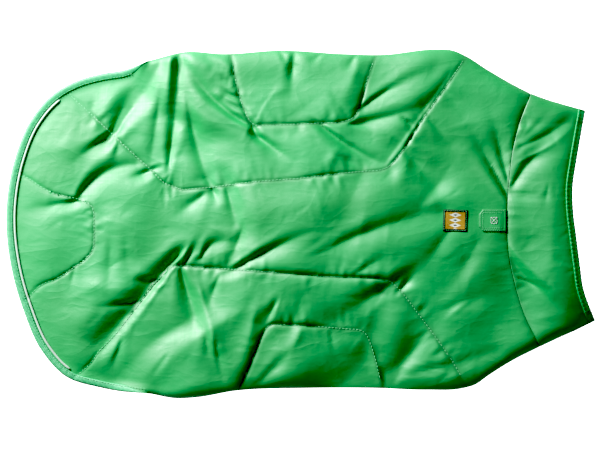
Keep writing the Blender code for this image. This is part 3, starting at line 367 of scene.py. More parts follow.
# %% The table of folds
# start x, y, end x, y, bow to the left, width left, width right, rise, soft start, soft end
FOLDS = np.array([
    # between the hem and the far channel
    (-178, 88, -137, 156, 0, 12, 10, -11.0, 0.2, 0.0),
    (-192, 100, -152, 160, 0, 14, 8, 5.0, 0.5, 0.0),
    (-181, 88, -214, 61, 0, 11, 4, -6.0, 0.0, 0.8),
    (-173, 78, -177, 62, 0, 5, 3, -2.0, 0.3, 0.8),
    (-213, 24, -157, 57, 9, 6, 12, -6.0, 0.3, 0.3),
    (-214, 23, -275, 11, 0, 9, 5, -3.5, 0.1, 0.8),
    (-142, 52, -166, 42, 0, 8, 4, -4.0, 0.0, 0.8),
    (-218, 119, -268, 54, 3, 5, 2.5, -1.2, 0.3, 0.7),
    (-211, 113, -255, 55, 3, 5, 2.5, -1.0, 0.3, 0.7),
    (-225, 122, -274, 66, 3, 4, 2.5, -0.8, 0.3, 0.7),
    (-198, 114.5, -202, 106, 0, 4, 3, -3.0, 0.0, 1.0),
    (-211, 108, -199, 102, 0, 3, 3, -1.5, 0.5, 0.5),
    # from the far side down to the far channel
    (-114, 169, -119, 100, 0, 10, 8, -9.0, 0.0, 0.7),
    (-122, 167, -129, 92, 0, 6, 14, 4.0, 0.0, 0.7),
    (-124.3, 60, -117, 125, 0, 6, 6, -5.0, 0.5, 0.7),
    (-130, 143, -143, 54, 0, 8, 5, -3.0, 0.6, 0.4),
    (-108, 135, -84, 34, -4, 9, 6, -4.4, 0.9, 0.1),
    (-45.6, 93.6, -110, 156, 7, 5, 6, -5.5, 0.0, 0.4),
    (-58, 119, -82, 134, 1, 3.4, 3.4, -3.6, 0.3, 0.6),
    (-63, 141, -88, 158, 0, 3.4, 3.4, -3.4, 0.3, 0.6),
    (-52, 108, -72, 120, 1, 3.2, 3.2, -3.4, 0.3, 0.5),
    (-61, 130, -84, 147, 0, 3.4, 3.4, -3.8, 0.3, 0.6),
    (-44.6, 93.6, -39.8, 83, 0, 5, 5, -4.0, 0.0, 0.5),
    (-39.8, 84, -6, 59, 0, 5, 8, -5.0, 0.0, 0.8),
    (20.6, 94.6, 85.9, 54.2, -3, 3.5, 9, -5.0, 0.0, 0.6),
    (39, 64, 60, 54, 0, 5, 5, -2.0, 0.5, 0.5),
    # in the far cell
    (-6, 161, -8, 124, 0, 12, 5, -4.0, 0.2, 0.8),
    (56, 152, 40, 112, 0, 11, 11, 2.2, 0.4, 0.5),
    (32, 124, 45.6, 102, 0, 4, 6, -1.2, 0.5, 0.4),
    (20, 162, 12, 156, 0, 3, 3, -2.0, 0.2, 0.5),
    (53, 160, 47, 152, 0, 3, 3, -2.0, 0.2, 0.5),
    (-19, 165, -7, 148, 0, 3, 3, -2.0, 0.2, 0.3),
    # between the far cell and the far channel's rise
    (61, 112.8, 127, 148, 2.5, 4, 9, -3.2, 0.2, 0.6),
    (55, 97.4, 118.6, 112.8, -2, 5, 8, -3.0, 0.2, 0.5),
    (50.4, 95.5, 75.3, 93.6, 0, 2.5, 3, -2.0, 0.0, 1.0),
    (99.4, 100.3, 111, 92.6, 0, 3, 3, -2.5, 0.3, 0.3),
    (142, 140, 83.5, 62, 0, 3, 8, -2.5, 0.3, 0.3),
    # from the collar seam
    (197.3, 30, 158, 100.3, 0, 6, 12, -5.0, 0.0, 0.9),
    (198, 46, 182, 108, 0, 6, 9, -4.0, 0.0, 0.8),
    (124.3, 100.3, 144.5, 78.2, 0, 5, 5, -2.0, 0.3, 0.7),
    (102.2, 66.7, 133, 41.8, 0, 10, 14, -4.0, 0.1, 0.7),
    (120, 24, 150, 60, 0, 26, 16, -5.0, 0.8, 0.8),
    (110, 78, 146, 32, 0, 16, 14, 1.8, 0.8, 0.8),
    # down the middle
    (-95, 26, -124, 4, 0, 10, 7, -3.0, 0.2, 1.0),
    (-68.6, 33, -56, -12, 0, 18, 8, -5.0, 0.0, 0.3),
    (-56, -10, -67, -39, 0, 14, 6, -3.0, 0.4, 0.1),
    (-83, 33, -75, 15, 0, 8, 6, -3.0, 0.0, 0.8),
    (-93.6, -32, -65, -17, 7, 5, 9, -3.5, 0.4, 0.4),
    (-110, -38, -95, -14, 0, 3, 5, -3.2, 0.0, 0.9),
    (-118, -32, -190, -118, 0, 4, 12, -8.5, 0.1, 0.1),
    (-61, -42, 29, -1.5, 3, 5, 10, -5.0, 0.0, 1.0),
    (21.6, -26, 135, 11, 5, 7, 12, -4.0, 0.8, 0.5),
    (55, -45.6, 77, -33, 0, 4, 6, -2.0, 0.4, 0.6),
    (141.6, -7, 113.8, -48.5, 0, 12, 10, -2.4, 0.5, 0.6),
    (168.5, -20, 142.6, -65, 0, 14, 12, -2.4, 0.6, 0.6),
    # between the near channel and the hem
    (-160, -74, -190, -79, 0, 5, 3, -3.0, 0.1, 0.7),
    (-137, -53, -161, -54, 0, 6, 4, -4.0, 0.0, 0.8),
    (-181, -26, -183, -69, 0, 12, 9, -2.8, 0.5, 0.5),
    (-166, -21, -163, -49, 0, 9, 8, -1.4, 0.6, 0.6),
    (-172, -116, -182, -147, 0, 7, 4, -3.0, 0.2, 0.5),
    (-129, -128, -150, -157, 0, 5, 3, -2.0, 0.3, 0.6),
    (-165, -132, -170, -140, 0, 9, 9, -2.0, 1.0, 1.0),
    (-266, 2, -266, -34, 0, 4, 2, -1.0, 0.3, 0.5),
    (-215.5, -42, -220, -65, 0, 4, 3, -1.5, 0.0, 1.0),
    # from the near channel down to the near side
    (-112, -48, -98, -98, 0, 7, 8, -6.0, 0.1, 0.4),
    (-94, -66, -79, -118, 0, 7, 9, 3.0, 0.4, 0.3),
    (-79, -118, -73, -146, 0, 6, 6, -3.4, 0.2, 0.4),
    (-88, -111, -81, -145, 0, 8, 8, -3.0, 0.1, 0.6),
    (-83, -106, -76, -147, 0, 5, 5, 1.4, 0.3, 0.5),
    (-44, -90, -60, -140, 2, 11, 10, 2.4, 0.3, 0.4),
    (-24, -78, -33, -96, 0, 3, 8, -3.5, 0.2, 0.3),
    (-78, -53, -86, -75, 0, 4, 4, -2.0, 0.4, 0.6),
    (88.8, -56, 37, -90, 0, 24, 12, -5.6, 0.1, 0.4),
    # in the near cell
    (-33, -144.5, 0.5, -113.8, 0, 5, 10, -3.0, 0.3, 0.5),
    (1.4, -101, -16, -144.5, 0, 30, 12, 4.5, 0.3, 0.3),
    (30, -106, 34, -125, 0, 4, 4, -0.8, 0.0, 0.8),
    (-8, -168, 82, -168, 0, 48, 48, -9.0, 0.4, 0.2),
    (66, -112, 60, -152, 0, 22, 20, -3.6, 0.4, 0.2),
    # near shoulder
    (96.5, -61, 110, -47, 0, 4, 5, -4.0, 0.0, 0.8),
    (89, -146, 138, -82, 0, 15, 9, -4.6, 0.1, 0.9),
    (144.5, -79, 196, -55, 0, 10, 12, -2.6, 0.5, 0.5),
    (144.5, -86, 172, -63, 0, 5, 5, 0.9, 0.6, 0.6),
    (101, -141.6, 188, -119.5, -2, 3, 8, -3.0, 0.5, 0.6),
    (135, -147, 154, -133, 0, 3, 4, -2.0, 0.3, 0.7),
])
COLLAR_FOLDS = np.array([
    (211.7, 74.4, 266.4, 107, -3, 5, 7, -3.0, 0.6, 0.1),
    (211.7, 61, 266.4, 97.5, -3, 4, 5, 2.6, 0.7, 0.1),
    (204, 38, 262, 88, 7, 7, 10, -4.0, 0.2, 0.5),
    (240, -30, 258, 64, 6, 22, 22, 2.4, 0.5, 0.5),
    (201, -22, 276, -91, -3, 16, 6, 3.0, 0.2, 0.0),
    (204, -36, 262, -88, -4, 6, 16, -3.5, 0.1, 0.4),
    (209.8, -51.4, 236, -63, 0, 2.5, 3, -2.2, 0.3, 0.6),
    (256.8, -7, 245, -15, 0, 3, 3, -1.4, 0.0, 1.0),
    (258.8, -39, 238.6, -29, 0, 3, 4, -2.0, 0.0, 1.0),
    (263.5, -44, 250, -46, 0, 2.5, 3, -2.0, 0.0, 1.0),
    (236, 33, 233.5, 18, 0, 4, 4, -1.5, 0.5, 0.7),
])
print(len(FOLDS), "folds on the back,", len(COLLAR_FOLDS), "on the collar")


def folds(rows, x, y):
    """The sum of the table's folds. Along a fold, its middle bows sideways as a parabola, and its
    width grows from less than half of the table's to a little more. Across, it falls from its crest
    on each side as exp(-distance^1.6), with a low rise beyond, where the pushed cloth stands up."""
    total = np.zeros_like(x)
    for x0, y0, x1, y1, bow, left, right, rise, begin, end in rows:
        run = np.array([x1 - x0, y1 - y0])
        size = np.hypot(*run)
        t = ((x - x0) * run[0] + (y - y0) * run[1]) / size**2
        s = np.clip(t, 0, 1)
        side = ((y - y0) * run[0] - (x - x0) * run[1]) / size - 4 * bow * s * (1 - s)
        width = np.where(side > 0, left, right) * (0.4 + 0.8 * s)
        off = np.hypot(side / width, (t - s) * size / (0.5 * (left + right)))
        first = 1 - begin * (1 - smooth_step(s / 0.4))
        last = 1 - end * (1 - smooth_step((1 - s) / 0.8))
        across_it = np.exp(-(off**1.6)) - 0.1 * np.exp(-((off - 2.4) ** 2))
        total += rise * (first * last) * across_it
    return total


# %% [markdown]
# ## Puckers and small creases
# A line of stitching is a little shorter than the cloth it holds, so the cloth gathers into small
# ripples beside it. Noise textures would ripple everywhere alike. These ripples are sums of waves
# along each line, different on its two sides and stronger in some stretches, that rise from
# nothing at the stitches and die away within a centimetre. Handling leaves short creases too,
# which are rows of the same kind as the folds, drawn at random from a fixed seed.

# %% Small ripples and creases
random = np.random.default_rng(7)
WAVES = 14


def ripple_set(shortest, longest):
    """Random waves for one side of a line: wave number, phase and slant of each."""
    span = random.uniform(shortest, longest, WAVES)
    return 2 * np.pi / span, random.uniform(0, 2 * np.pi, WAVES), random.uniform(-0.5, 0.5, WAVES)


def ripples(waves, along, off):
    """Waves that run along a line and lean with the distance from it. A slow wave of the same set
    turns them up in some stretches and off in others."""
    number, phase, slant = waves
    angle = number * (along[..., None] + slant * off[..., None]) + phase
    patchy = smooth_step(0.5 + 0.7 * np.cos(along * number[0] / 5 + phase[1]))
    return np.cos(angle).sum(-1) * np.sqrt(2 / WAVES) * patchy


PUCKERS = {name: (ripple_set(7, 24), ripple_set(7, 24)) for name in [*QUILTING, "seam"]}
PUCKER_RISE = 0.55
PUCKER_REACH = (8.0, 2.0)  # how far out the ripples last, and how near the line they begin
SWELLS = [(random.uniform(0, 2 * np.pi), random.uniform(0, 2 * np.pi), size)
          for size in random.uniform(30, 110, 26)]
SWELL_TOTAL = 330.0


def small_creases(count, low, high, longest):
    """Random short folds inside a box, as rows of the folds' table. A longer one is wider and
    higher, and most of them run from the tail's near side towards the neck's far side."""
    start = random.uniform(low, high, (count, 2))
    turn = random.normal(0.5, 0.8, count)
    size = longest * random.uniform(0.35, 1, count)
    end = start + size[:, None] * np.stack([np.cos(turn), np.sin(turn)], axis=1)
    bow = size * random.uniform(-0.12, 0.12, count)
    left, right = size * random.uniform(0.1, 0.26, (2, count))
    rise = random.choice([-1, 1], count) * size * random.uniform(0.008, 0.02, count)
    soft = random.uniform(0.5, 1, (2, count))
    return np.stack([*start.T, *end.T, bow, left, right, rise, *soft], axis=1)


CREASES = np.concatenate([
    small_creases(36, (-250, -150), (190, 150), 90),
    small_creases(90, (-270, -160), (200, 160), 42),
    small_creases(150, (-270, -160), (200, 160), 18),
])
COLLAR_CREASES = small_creases(22, (205, -90), (262, 100), 30)
print(len(CREASES), "small creases on the back,", len(COLLAR_CREASES), "on the collar")


def unevenness(x, y):
    """Broad soft unevenness of the padding: plane waves in every direction, longer ones higher."""
    total = np.zeros_like(x)
    for turn, phase, size in SWELLS:
        total += np.cos(2 * np.pi * (x * np.cos(turn) + y * np.sin(turn)) / size + phase) * size
    return total / SWELL_TOTAL


def puckers(name, off, run, side):
    """The ripples of one line, higher some millimetres from it and gone at the line itself."""
    near = off < 60
    left, right = PUCKERS[name]
    wave = np.zeros_like(off)
    wave[near] = np.where(
        side[near] > 0, ripples(left, run[near], off[near]), ripples(right, run[near], off[near])
    )
    return PUCKER_RISE * wave * (np.exp(-off / PUCKER_REACH[0]) - np.exp(-off / PUCKER_REACH[1]))


# %% Thickness and height of the back
HELD_HEM = spaced(LINES["hem"], 2.0, 24.0)  # the far corner is free to fold


def quilted_wall(x, y):
    """The back's thickness: thin at the hem and at each quilting line, lofty between. The loft is
    one minus an exponential of the distance, whose reach is shorter on the side that the padding
    leans over. Each line pulls the cloth down by its own shares, and folds never press the wall
    thinner than its edge."""
    held = np.zeros(x.shape)
    from_line = np.full(x.shape, 1e9)
    ripple = np.zeros_like(x)
    for name, line in [*QUILTING.items(), ("seam", LINES["seam"])]:
        off, run, away_x, away_y = nearest(line, x, y)
        lean = away_x * SLUMP_WAY[0] + away_y * SLUMP_WAY[1]
        shares = QUILT_PULL[name]
        share = np.interp(run / lengths(line)[-1], np.linspace(0, 1, len(shares)), shares)
        pull = share * np.exp(-off / (QUILT_REACH * np.exp(-SLUMP * lean)))
        held = np.maximum(held, pull)
        from_line = np.minimum(from_line, off + (SEAM_SOFTNESS if name == "seam" else 0))
        ripple += puckers(name, off, run, lean)
        from_seam = off
    groove = GROOVE_DEPTH * np.exp(-from_line / GROOVE_REACH)
    loft = GROOVE_DEPTH + QUILT_LOFT * (1 - held)
    shoulder = SHOULDER_DROP * (1 - np.exp(-from_seam / SHOULDER_REACH))
    swell_x, swell_y = (x - SWELL_AT[0]) / SWELL_SIZE[0], (y - SWELL_AT[1]) / SWELL_SIZE[1]
    swell = np.exp(-(swell_x**2) - swell_y**2)
    relief = FOLD_DEPTH * folds(FOLDS, x, y) + folds(CREASES, x, y) + unevenness(x, y)
    tail = TAIL_DROP * smooth_step((TAIL_RUN[0] - x) / TAIL_RUN[1])
    full = STITCHED_WALL + loft + shoulder - tail + BODY_SWELL * swell + ripple
    full += relief * (FOLD_HOLD[0] + (1 - FOLD_HOLD[0]) * (1 - np.exp(-from_line / FOLD_HOLD[1])))
    from_hem = nearest(HELD_HEM, x, y)[0]
    bound = 1 - np.exp(-np.maximum(from_hem - BORDER_STRIP, 0) / HEM_REACH)
    groove = groove * (GROOVE_AT_HEM + (1 - GROOVE_AT_HEM) * bound)
    return EDGE_WALL + np.maximum(full - EDGE_WALL, LEAST_WALL) * bound - groove


def side_distance(x, y):
    """How far in from the nearer side fold a point is."""
    return np.minimum(nearest(LINES["far_fold"], x, y)[0], nearest(LINES["near_fold"], x, y)[0])


def back_top(x, y):
    """The back's outer face: lining and wall, rounding down to the middle of the side folds."""
    full = lining_height(x, y) + quilted_wall(x, y)
    middle = side_middle(x)
    inward = side_distance(x, y) / along_side(x, OVER_ROLL)
    return middle + (full - middle) * rounded(inward)


sample = back_top(np.array([0.0, 60.0, -200.0]), np.array([0.0, 0.0, -90.0]))
print("height over the floor at three places, mm:", sample.round(1))

# %% [markdown]
# ## Making a mesh from grids
# A sewn panel is several sheets joined at their edges. One way is to model a sheet and give it a
# Solidify modifier. The panels here have an outer face and a lining of different shapes, so each
# is a few grids of points whose edges share their points, and merging the doubles closes them.

# %% Grids into one closed piece


def grid_faces(rows, columns, start, flip):
    """Quads of a grid of points numbered row by row from start."""
    index = start + np.arange(rows * columns).reshape(rows, columns)
    quads = np.stack([index[:-1, :-1], index[1:, :-1], index[1:, 1:], index[:-1, 1:]], axis=-1)
    quads = quads.reshape(-1, 4)
    return quads[:, ::-1] if flip else quads


def signed_volume(points, quads):
    """Six times the volume inside the quads: each makes two triangles with the origin."""
    a, b, c, d = (points[quads[:, k]] for k in range(4))
    return np.einsum("ij,ij->", a, np.cross(b, c)) + np.einsum("ij,ij->", a, np.cross(c, d))


WELD = 0.02


def linked(name, data):
    """An object in the scene that shows this mesh, lamp or camera."""
    item = bpy.data.objects.new(name, data)
    bpy.context.scene.collection.objects.link(item)
    return item


def new_mesh(name, points, faces):
    """A mesh from points in plan millimetres."""
    mesh = bpy.data.meshes.new(name)
    mesh.from_pydata(((points + SHIFT) * MM).tolist(), [], faces)
    return mesh


def add_piece(name, grids):
    """One object from (grid, flip) pairs in millimetres. Doubles are merged, and a piece that came
    out facing inward is turned."""
    points, quads, start = [], [], 0
    for grid, flip in grids:
        rows, columns = grid.shape[:2]
        points.append(grid.reshape(-1, 3))
        quads.append(grid_faces(rows, columns, start, flip))
        start += rows * columns
    points, quads = np.concatenate(points), np.concatenate(quads)
    if signed_volume(points, quads) < 0:
        quads = quads[:, ::-1]
    mesh = new_mesh(name, points, quads.tolist())
    merged = bmesh.new()
    merged.from_mesh(mesh)
    edges = [point for point in merged.verts if point.is_boundary]
    bmesh.ops.remove_doubles(merged, verts=edges, dist=WELD * MM)
    merged.to_mesh(mesh)
    open_edges = sum(edge.is_boundary for edge in merged.edges)
    turned = sum(not edge.is_contiguous for edge in merged.edges)
    merged.free()
    mesh.shade_smooth()
    piece = linked(name, mesh)
    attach(piece, "root")
    print(f"{name}: {len(mesh.polygons)} faces, {open_edges} open edges, {turned} turned edges")
    return piece


def rim(first, second):
    """A strip between two rows of points."""
    return np.stack([first, second])


def closed_wall(outer, inner):
    """The grids of a wall: two faces and the four rims that join them."""
    return [
        (outer, True), (inner, False),
        (rim(outer[0], inner[0]), False), (rim(outer[-1], inner[-1]), True),
        (rim(outer[:, 0], inner[:, 0]), True), (rim(outer[:, -1], inner[:, -1]), False),
    ]


def solid(plan, z):
    """Plan points with their heights."""
    return np.concatenate([plan, np.asarray(z)[..., None]], axis=-1)


# %% [markdown]
# ## The back panel
# The back is the coat's one big piece. It is seen from above, and its two long edges are turned
# under and sewn to the chest panel. A rectangular grid would crowd at the tail, where the hem runs
# almost straight on into the side folds. This grid runs from the outline to a line down the middle
# instead, so its rows follow the hem, the folds and the collar seam all the way round.

# %% Plan of the back
HEM_ROWS = 128
FOLD_ROWS = 206
SEAM_ROWS = 74
ROLL = 36.0
ROLL_COLUMNS = 14
OPEN_COLUMNS = 78
UNDER_COLUMNS = 12
LINING_COLUMNS = (5, 7)
SPINE_X = (-150, -104, 128, 150)
SNAP = 0.8


def fraction_at_zero(line):
    """The fraction of the line's length at which it crosses y = 0."""
    run = lengths(line)
    order = np.argsort(line[:, 1])
    return np.interp(0, line[order, 1], run[order]) / run[-1]


def half_outline(side):
    """From the middle of the tail along the hem, the side fold and half of the collar seam."""
    end = 0 if side == "far" else 1
    hem = resampled(LINES["hem"], np.linspace(fraction_at_zero(LINES["hem"]), end, HEM_ROWS))
    fold = resampled(LINES[side + "_fold"], np.linspace(0, 1, FOLD_ROWS))
    seam = resampled(LINES["seam"], np.linspace(end, fraction_at_zero(LINES["seam"]), SEAM_ROWS))
    return np.concatenate([hem, fold[1:], seam[1:]])


ROWS = HEM_ROWS + FOLD_ROWS + SEAM_ROWS - 2
ON_HEM = slice(0, HEM_ROWS)
ON_FOLD = slice(HEM_ROWS - 1, HEM_ROWS + FOLD_ROWS - 1)
ON_SEAM = slice(HEM_ROWS + FOLD_ROWS - 2, ROWS)
corners = [0, HEM_ROWS - 1, HEM_ROWS + FOLD_ROWS - 2, ROWS - 1]
spine = np.stack([np.interp(np.arange(ROWS), corners, SPINE_X), np.zeros(ROWS)], axis=1)


def half_plan(edge, roll_columns=ROLL_COLUMNS, open_columns=OPEN_COLUMNS):
    """Points on straight lines from the outline to the middle line: close together round a side
    fold, then even."""
    inward = spine - edge
    size = np.linalg.norm(inward, axis=1)
    turn = ROLL * (1 - np.cos(np.linspace(0, np.pi / 2, roll_columns + 1)))
    even = ROLL + (size[:, None] - ROLL) * np.linspace(0, 1, open_columns + 1)[1:]
    steps = np.concatenate([np.broadcast_to(turn, (ROWS, len(turn))), even], axis=1)
    return edge[:, None] + inward[:, None] * (steps / size[:, None])[..., None]


def joined_halves(far, near):
    """The far half, then the near half from the middle line outwards."""
    return np.concatenate([far, near[:, ::-1][:, 1:]], axis=1)


def onto_lines(plan, reach):
    """Moves each point that is closer than reach to a quilting line onto it."""
    for line in QUILTING.values():
        off, run, _, _ = nearest(line, plan[..., 0], plan[..., 1])
        close = off < reach
        plan[close] = resampled(line, run[close] / lengths(line)[-1])
    return plan


far_edge, near_edge = half_outline("far"), half_outline("near")
top_plan = joined_halves(half_plan(far_edge), half_plan(near_edge))
top_plan[:, 8:-8] = onto_lines(top_plan[:, 8:-8].copy(), SNAP)
print("back grid:", top_plan.shape[:2])

# %% Outer face, lining and rims of the back


def patch(first, last, start, end, u, v):
    """A plan patch inside four lines. Each point blends the four lines and takes off the corners.
    u runs along first (v = 0) and last (v = 1); v runs along start (u = 0) and end (u = 1)."""
    u1, v1 = u[..., None], v[..., None]
    sides = (1 - v1) * resampled(first, u) + v1 * resampled(last, u)
    ends = (1 - u1) * resampled(start, v) + u1 * resampled(end, v)
    corner = (1 - u1) * ((1 - v1) * first[0] + v1 * last[0])
    return sides + ends - corner - u1 * ((1 - v1) * first[-1] + v1 * last[-1])


SIDE_EDGE_X = (-45, 5, 50, 64, 82, 105, 130, 150, 166, 203)
SIDE_EDGE_Y = (76, 74.5, 73, 80, 96, 104, 99, 80, 60, 57)
CHEST_GAP = (SEAM_GAP, SEAM_GAP, SEAM_GAP, 19, 50, 64, 57, 28, SEAM_GAP, SEAM_GAP)


def side_edge(sign):
    """The inner edge of a folded-under side, with its scoop for the leg."""
    x = np.linspace(SIDE_EDGE_X[0], SIDE_EDGE_X[-1], 160)
    return np.stack([x, sign * monotone(SIDE_EDGE_X, SIDE_EDGE_Y, x)], axis=1)


def off_edge(distance):
    """A bound edge is held off the floor by its tape."""
    return EDGE_CLEARANCE * (1 - ramp(distance, EDGE_STRIP))


def lower_wall(distance, swell=UNDER_SWELL):
    """Height of a lower layer's inner face, by the distance from its bound edge."""
    edge = EDGE_CLEARANCE + EDGE_WALL
    return edge + (UNDER_WALL - edge) * ramp(distance, swell)


def side_under(x, y, side):
    """A folded-under side's outer face: flat on the floor, rising to the fold's middle."""
    from_fold = nearest(LINES[side + "_fold"], x, y)[0]
    from_hem = nearest(LINES[side + "_turned"], x, y)[0]
    rise = side_middle(x) * (1 - rounded(from_fold / along_side(x, UNDER_ROLL)))
    return np.maximum(rise, off_edge(from_hem))


def side_over(x, y, side):
    """A folded-under side's inner face."""
    return lower_wall(nearest(LINES[side + "_turned"], x, y)[0])


def lining(x, y):
    """The back's inner face, with the hem held up off the floor for its tape."""
    z = lining_height(x, y)
    return z + off_edge(nearest(LINES["hem"], x, y)[0]) * (1 - z / LIFT).clip(0, 1)


def under_plan(side, fold):
    """Plan of a folded-under side, from its fold to the seam with the chest."""
    sign = 1 if side == "far" else -1
    roll = 1 - np.cos(np.linspace(0, np.pi / 2, 7))
    v = np.concatenate([0.16 * roll, np.linspace(0.16, 1, UNDER_COLUMNS - 6)[1:]])
    u, v = np.meshgrid(np.linspace(0, 1, FOLD_ROWS), v, indexing="ij")
    plan = patch(fold, side_edge(sign), LINES[side + "_turned"], LINES[side + "_throat"], u, v)
    plan[:, 0] = fold
    return plan


def drawn_in(edge):
    """The lining's outline: the outline moved in by the wall where it turns at a side fold."""
    wall = np.zeros(ROWS)
    ends = smooth_step(np.minimum(np.arange(FOLD_ROWS), np.arange(FOLD_ROWS)[::-1]) / 9)
    wall[ON_FOLD] = along_side(edge[ON_FOLD, 0], ROLL_WALL) * ends
    inward = (spine - edge) / np.linalg.norm(spine - edge, axis=1, keepdims=True)
    return edge + inward * wall[:, None]


def add_back():
    """The whole back panel: top, two folded-under sides, lining and the rims that join them."""
    top = solid(top_plan, back_top(top_plan[..., 0], top_plan[..., 1]))
    inner_edges = {"far": drawn_in(far_edge), "near": drawn_in(near_edge)}
    inner_plan = joined_halves(*(half_plan(edge, *LINING_COLUMNS) for edge in inner_edges.values()))
    inner_z = lining(inner_plan[..., 0], inner_plan[..., 1])
    for column in (0, -1):
        x, y = inner_plan[ON_FOLD, column].T
        inner_z[ON_FOLD, column] = (side_over(x, y, "far") + lining(x, y)) / 2
    inner = solid(inner_plan, inner_z)
    grids = [(top, True), (inner, False)]
    for side, column, flip in (("far", 0, False), ("near", -1, True)):
        edge = far_edge if side == "far" else near_edge
        outside = under_plan(side, edge[ON_FOLD])
        inside = under_plan(side, inner_edges[side][ON_FOLD])
        below = side_under(outside[..., 0], outside[..., 1], side)
        below[:, 0] = top[ON_FOLD, column, 2]
        above = side_over(inside[..., 0], inside[..., 1], side)
        above[:, 0] = inner_z[ON_FOLD, column]
        outside, inside = solid(outside, below), solid(inside, above)
        grids += [(outside, flip), (inside, not flip)]
        for rows in (ON_HEM, ON_SEAM):
            grids.append((rim(top[rows, column], inner[rows, column]), not flip))
        grids.append((rim(outside[0], inside[0]), not flip))
        grids.append((rim(outside[-1], inside[-1]), flip))
        grids.append((rim(outside[:, -1], inside[:, -1]), not flip))
    return add_piece("quilted_back", grids)


back = add_back()
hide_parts("back_panel")

# %% [markdown]
# ## The chest panel
# Underneath, one narrow panel closes the tube. It meets the folded-under sides at two seams, draws
# in at the legs and lies flat on the floor. It could share the back's mesh, but on the real coat
# it is a piece of its own, with its own bound edge at the belly.

# %% Chest panel
CHEST_ROWS = 130
CHEST_COLUMNS = 64


def chest_plan():
    """Rows from the belly to the throat, columns from the far seam to the near one. Both ends bow
    as their edges do."""
    x = np.linspace(SIDE_EDGE_X[0], SIDE_EDGE_X[-1], CHEST_ROWS)
    half = monotone(SIDE_EDGE_X, SIDE_EDGE_Y, x) - monotone(SIDE_EDGE_X, CHEST_GAP, x)
    v = np.linspace(1, -1, CHEST_COLUMNS)
    belly, throat = LINES["belly"], LINES["throat"]
    bow_rear = np.interp(v, belly[::-1, 1] / belly[0, 1], belly[::-1, 0]) - x[0]
    bow_front = np.interp(v, throat[::-1, 1] / throat[0, 1], throat[::-1, 0]) - x[-1]
    t = ((x - x[0]) / (x[-1] - x[0]))[:, None]
    at_rear, at_front = 1 - smooth_step(t / 0.45), ramp(t, (0.6, 0.4))
    bowed = x[:, None] + bow_rear * at_rear + bow_front * at_front
    return np.stack([bowed, half[:, None] * v], axis=-1)


def chest_faces():
    """Outer face on the floor, inner face over it, both thin and lifted at the bound edge."""
    plan = chest_plan()
    from_rear = plan[..., 0] - plan[0, :, 0]
    return solid(plan, off_edge(from_rear)), solid(plan, lower_wall(from_rear))


chest_outer, chest_inner = chest_faces()
chest = add_piece("chest_cloth", closed_wall(chest_inner, chest_outer))
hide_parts("chest_panel")

# %% [markdown]
# ## The collar
# The collar is a ring of its own, pressed flat: its upper half lies over its lower half, and it
# rolls over at both sides. One grid runs all the way round it, from the slit below the throat over
# one side, across the top and back under the other, so both rolls are smooth without a seam.

# %% Plan of the collar
COLLAR_ROWS = 62
COLLAR_TOP_COLUMNS = 190
COLLAR_UNDER_COLUMNS = 34
COLLAR_TURN = 9
TOP_CROWD = 14.0
UNDER_CROWD = (10.0, 110.0)  # width of the crowded part, and of the whole half below
LOWER_NECK_X = 256.0
THROAT_X = 199.5
THROAT_GAP = 0.08  # between the strip's two ends, which are sewn together under the throat


def spread(count, crowded, length, both):
    """Fractions of a length: crowded close to the side fold, even over the rest."""
    turn = crowded * (1 - np.cos(np.linspace(0, np.pi / 2, COLLAR_TURN))) / length
    if both:
        rest = np.linspace(turn[-1], 1 - turn[-1], count - 2 * COLLAR_TURN + 2)[1:-1]
        return np.concatenate([turn, rest, 1 - turn[::-1]])
    return np.concatenate([turn, np.linspace(turn[-1], 1, count - COLLAR_TURN + 1)[1:]])


def collar_plan():
    """Throat slit, far roll, top, near roll and throat slit again, seam to neck."""
    shift = np.array([SEAM_GAP, 0])
    seam, neck = LINES["seam"] + shift, LINES["neck"]
    far, near = LINES["collar_far"] + shift, LINES["collar_near"] + shift
    rows = np.linspace(0, 1, COLLAR_ROWS)
    columns = spread(COLLAR_TOP_COLUMNS, TOP_CROWD, lengths(neck)[-1], True)
    parts = [patch(far, near, seam, neck, *np.meshgrid(rows, columns, indexing="ij"))]
    columns = spread(COLLAR_UNDER_COLUMNS, *UNDER_CROWD, False)
    front = LINES["throat"]
    for name, side, sign in (("far", far, 1), ("near", near, -1)):
        middle = THROAT_GAP / 2 * sign
        half = front[front[:, 1] * sign > 1][::sign]
        joined = np.concatenate([LINES[name + "_throat"], half]) + shift
        joined = np.concatenate([joined, [[THROAT_X + SEAM_GAP, middle]]])
        lower_neck = curve([side[-1], (261, 55 * sign), (LOWER_NECK_X, middle)])
        centre = np.linspace((joined[-1, 0], middle), (LOWER_NECK_X, middle), 40)
        grid = np.meshgrid(rows, columns, indexing="ij")
        parts.append(patch(side, centre, joined, lower_neck, *grid))
    return np.concatenate([parts[1][:, ::-1][:, :-1], parts[0], parts[2][:, 1:]], axis=1)


print("collar grid:", collar_plan().shape[:2])

# %% Height of the collar


def collar_side_distance(x, y):
    """How far in from the nearer side roll a point is."""
    return np.minimum(nearest(LINES["collar_far"], x, y)[0], nearest(LINES["collar_near"], x, y)[0])


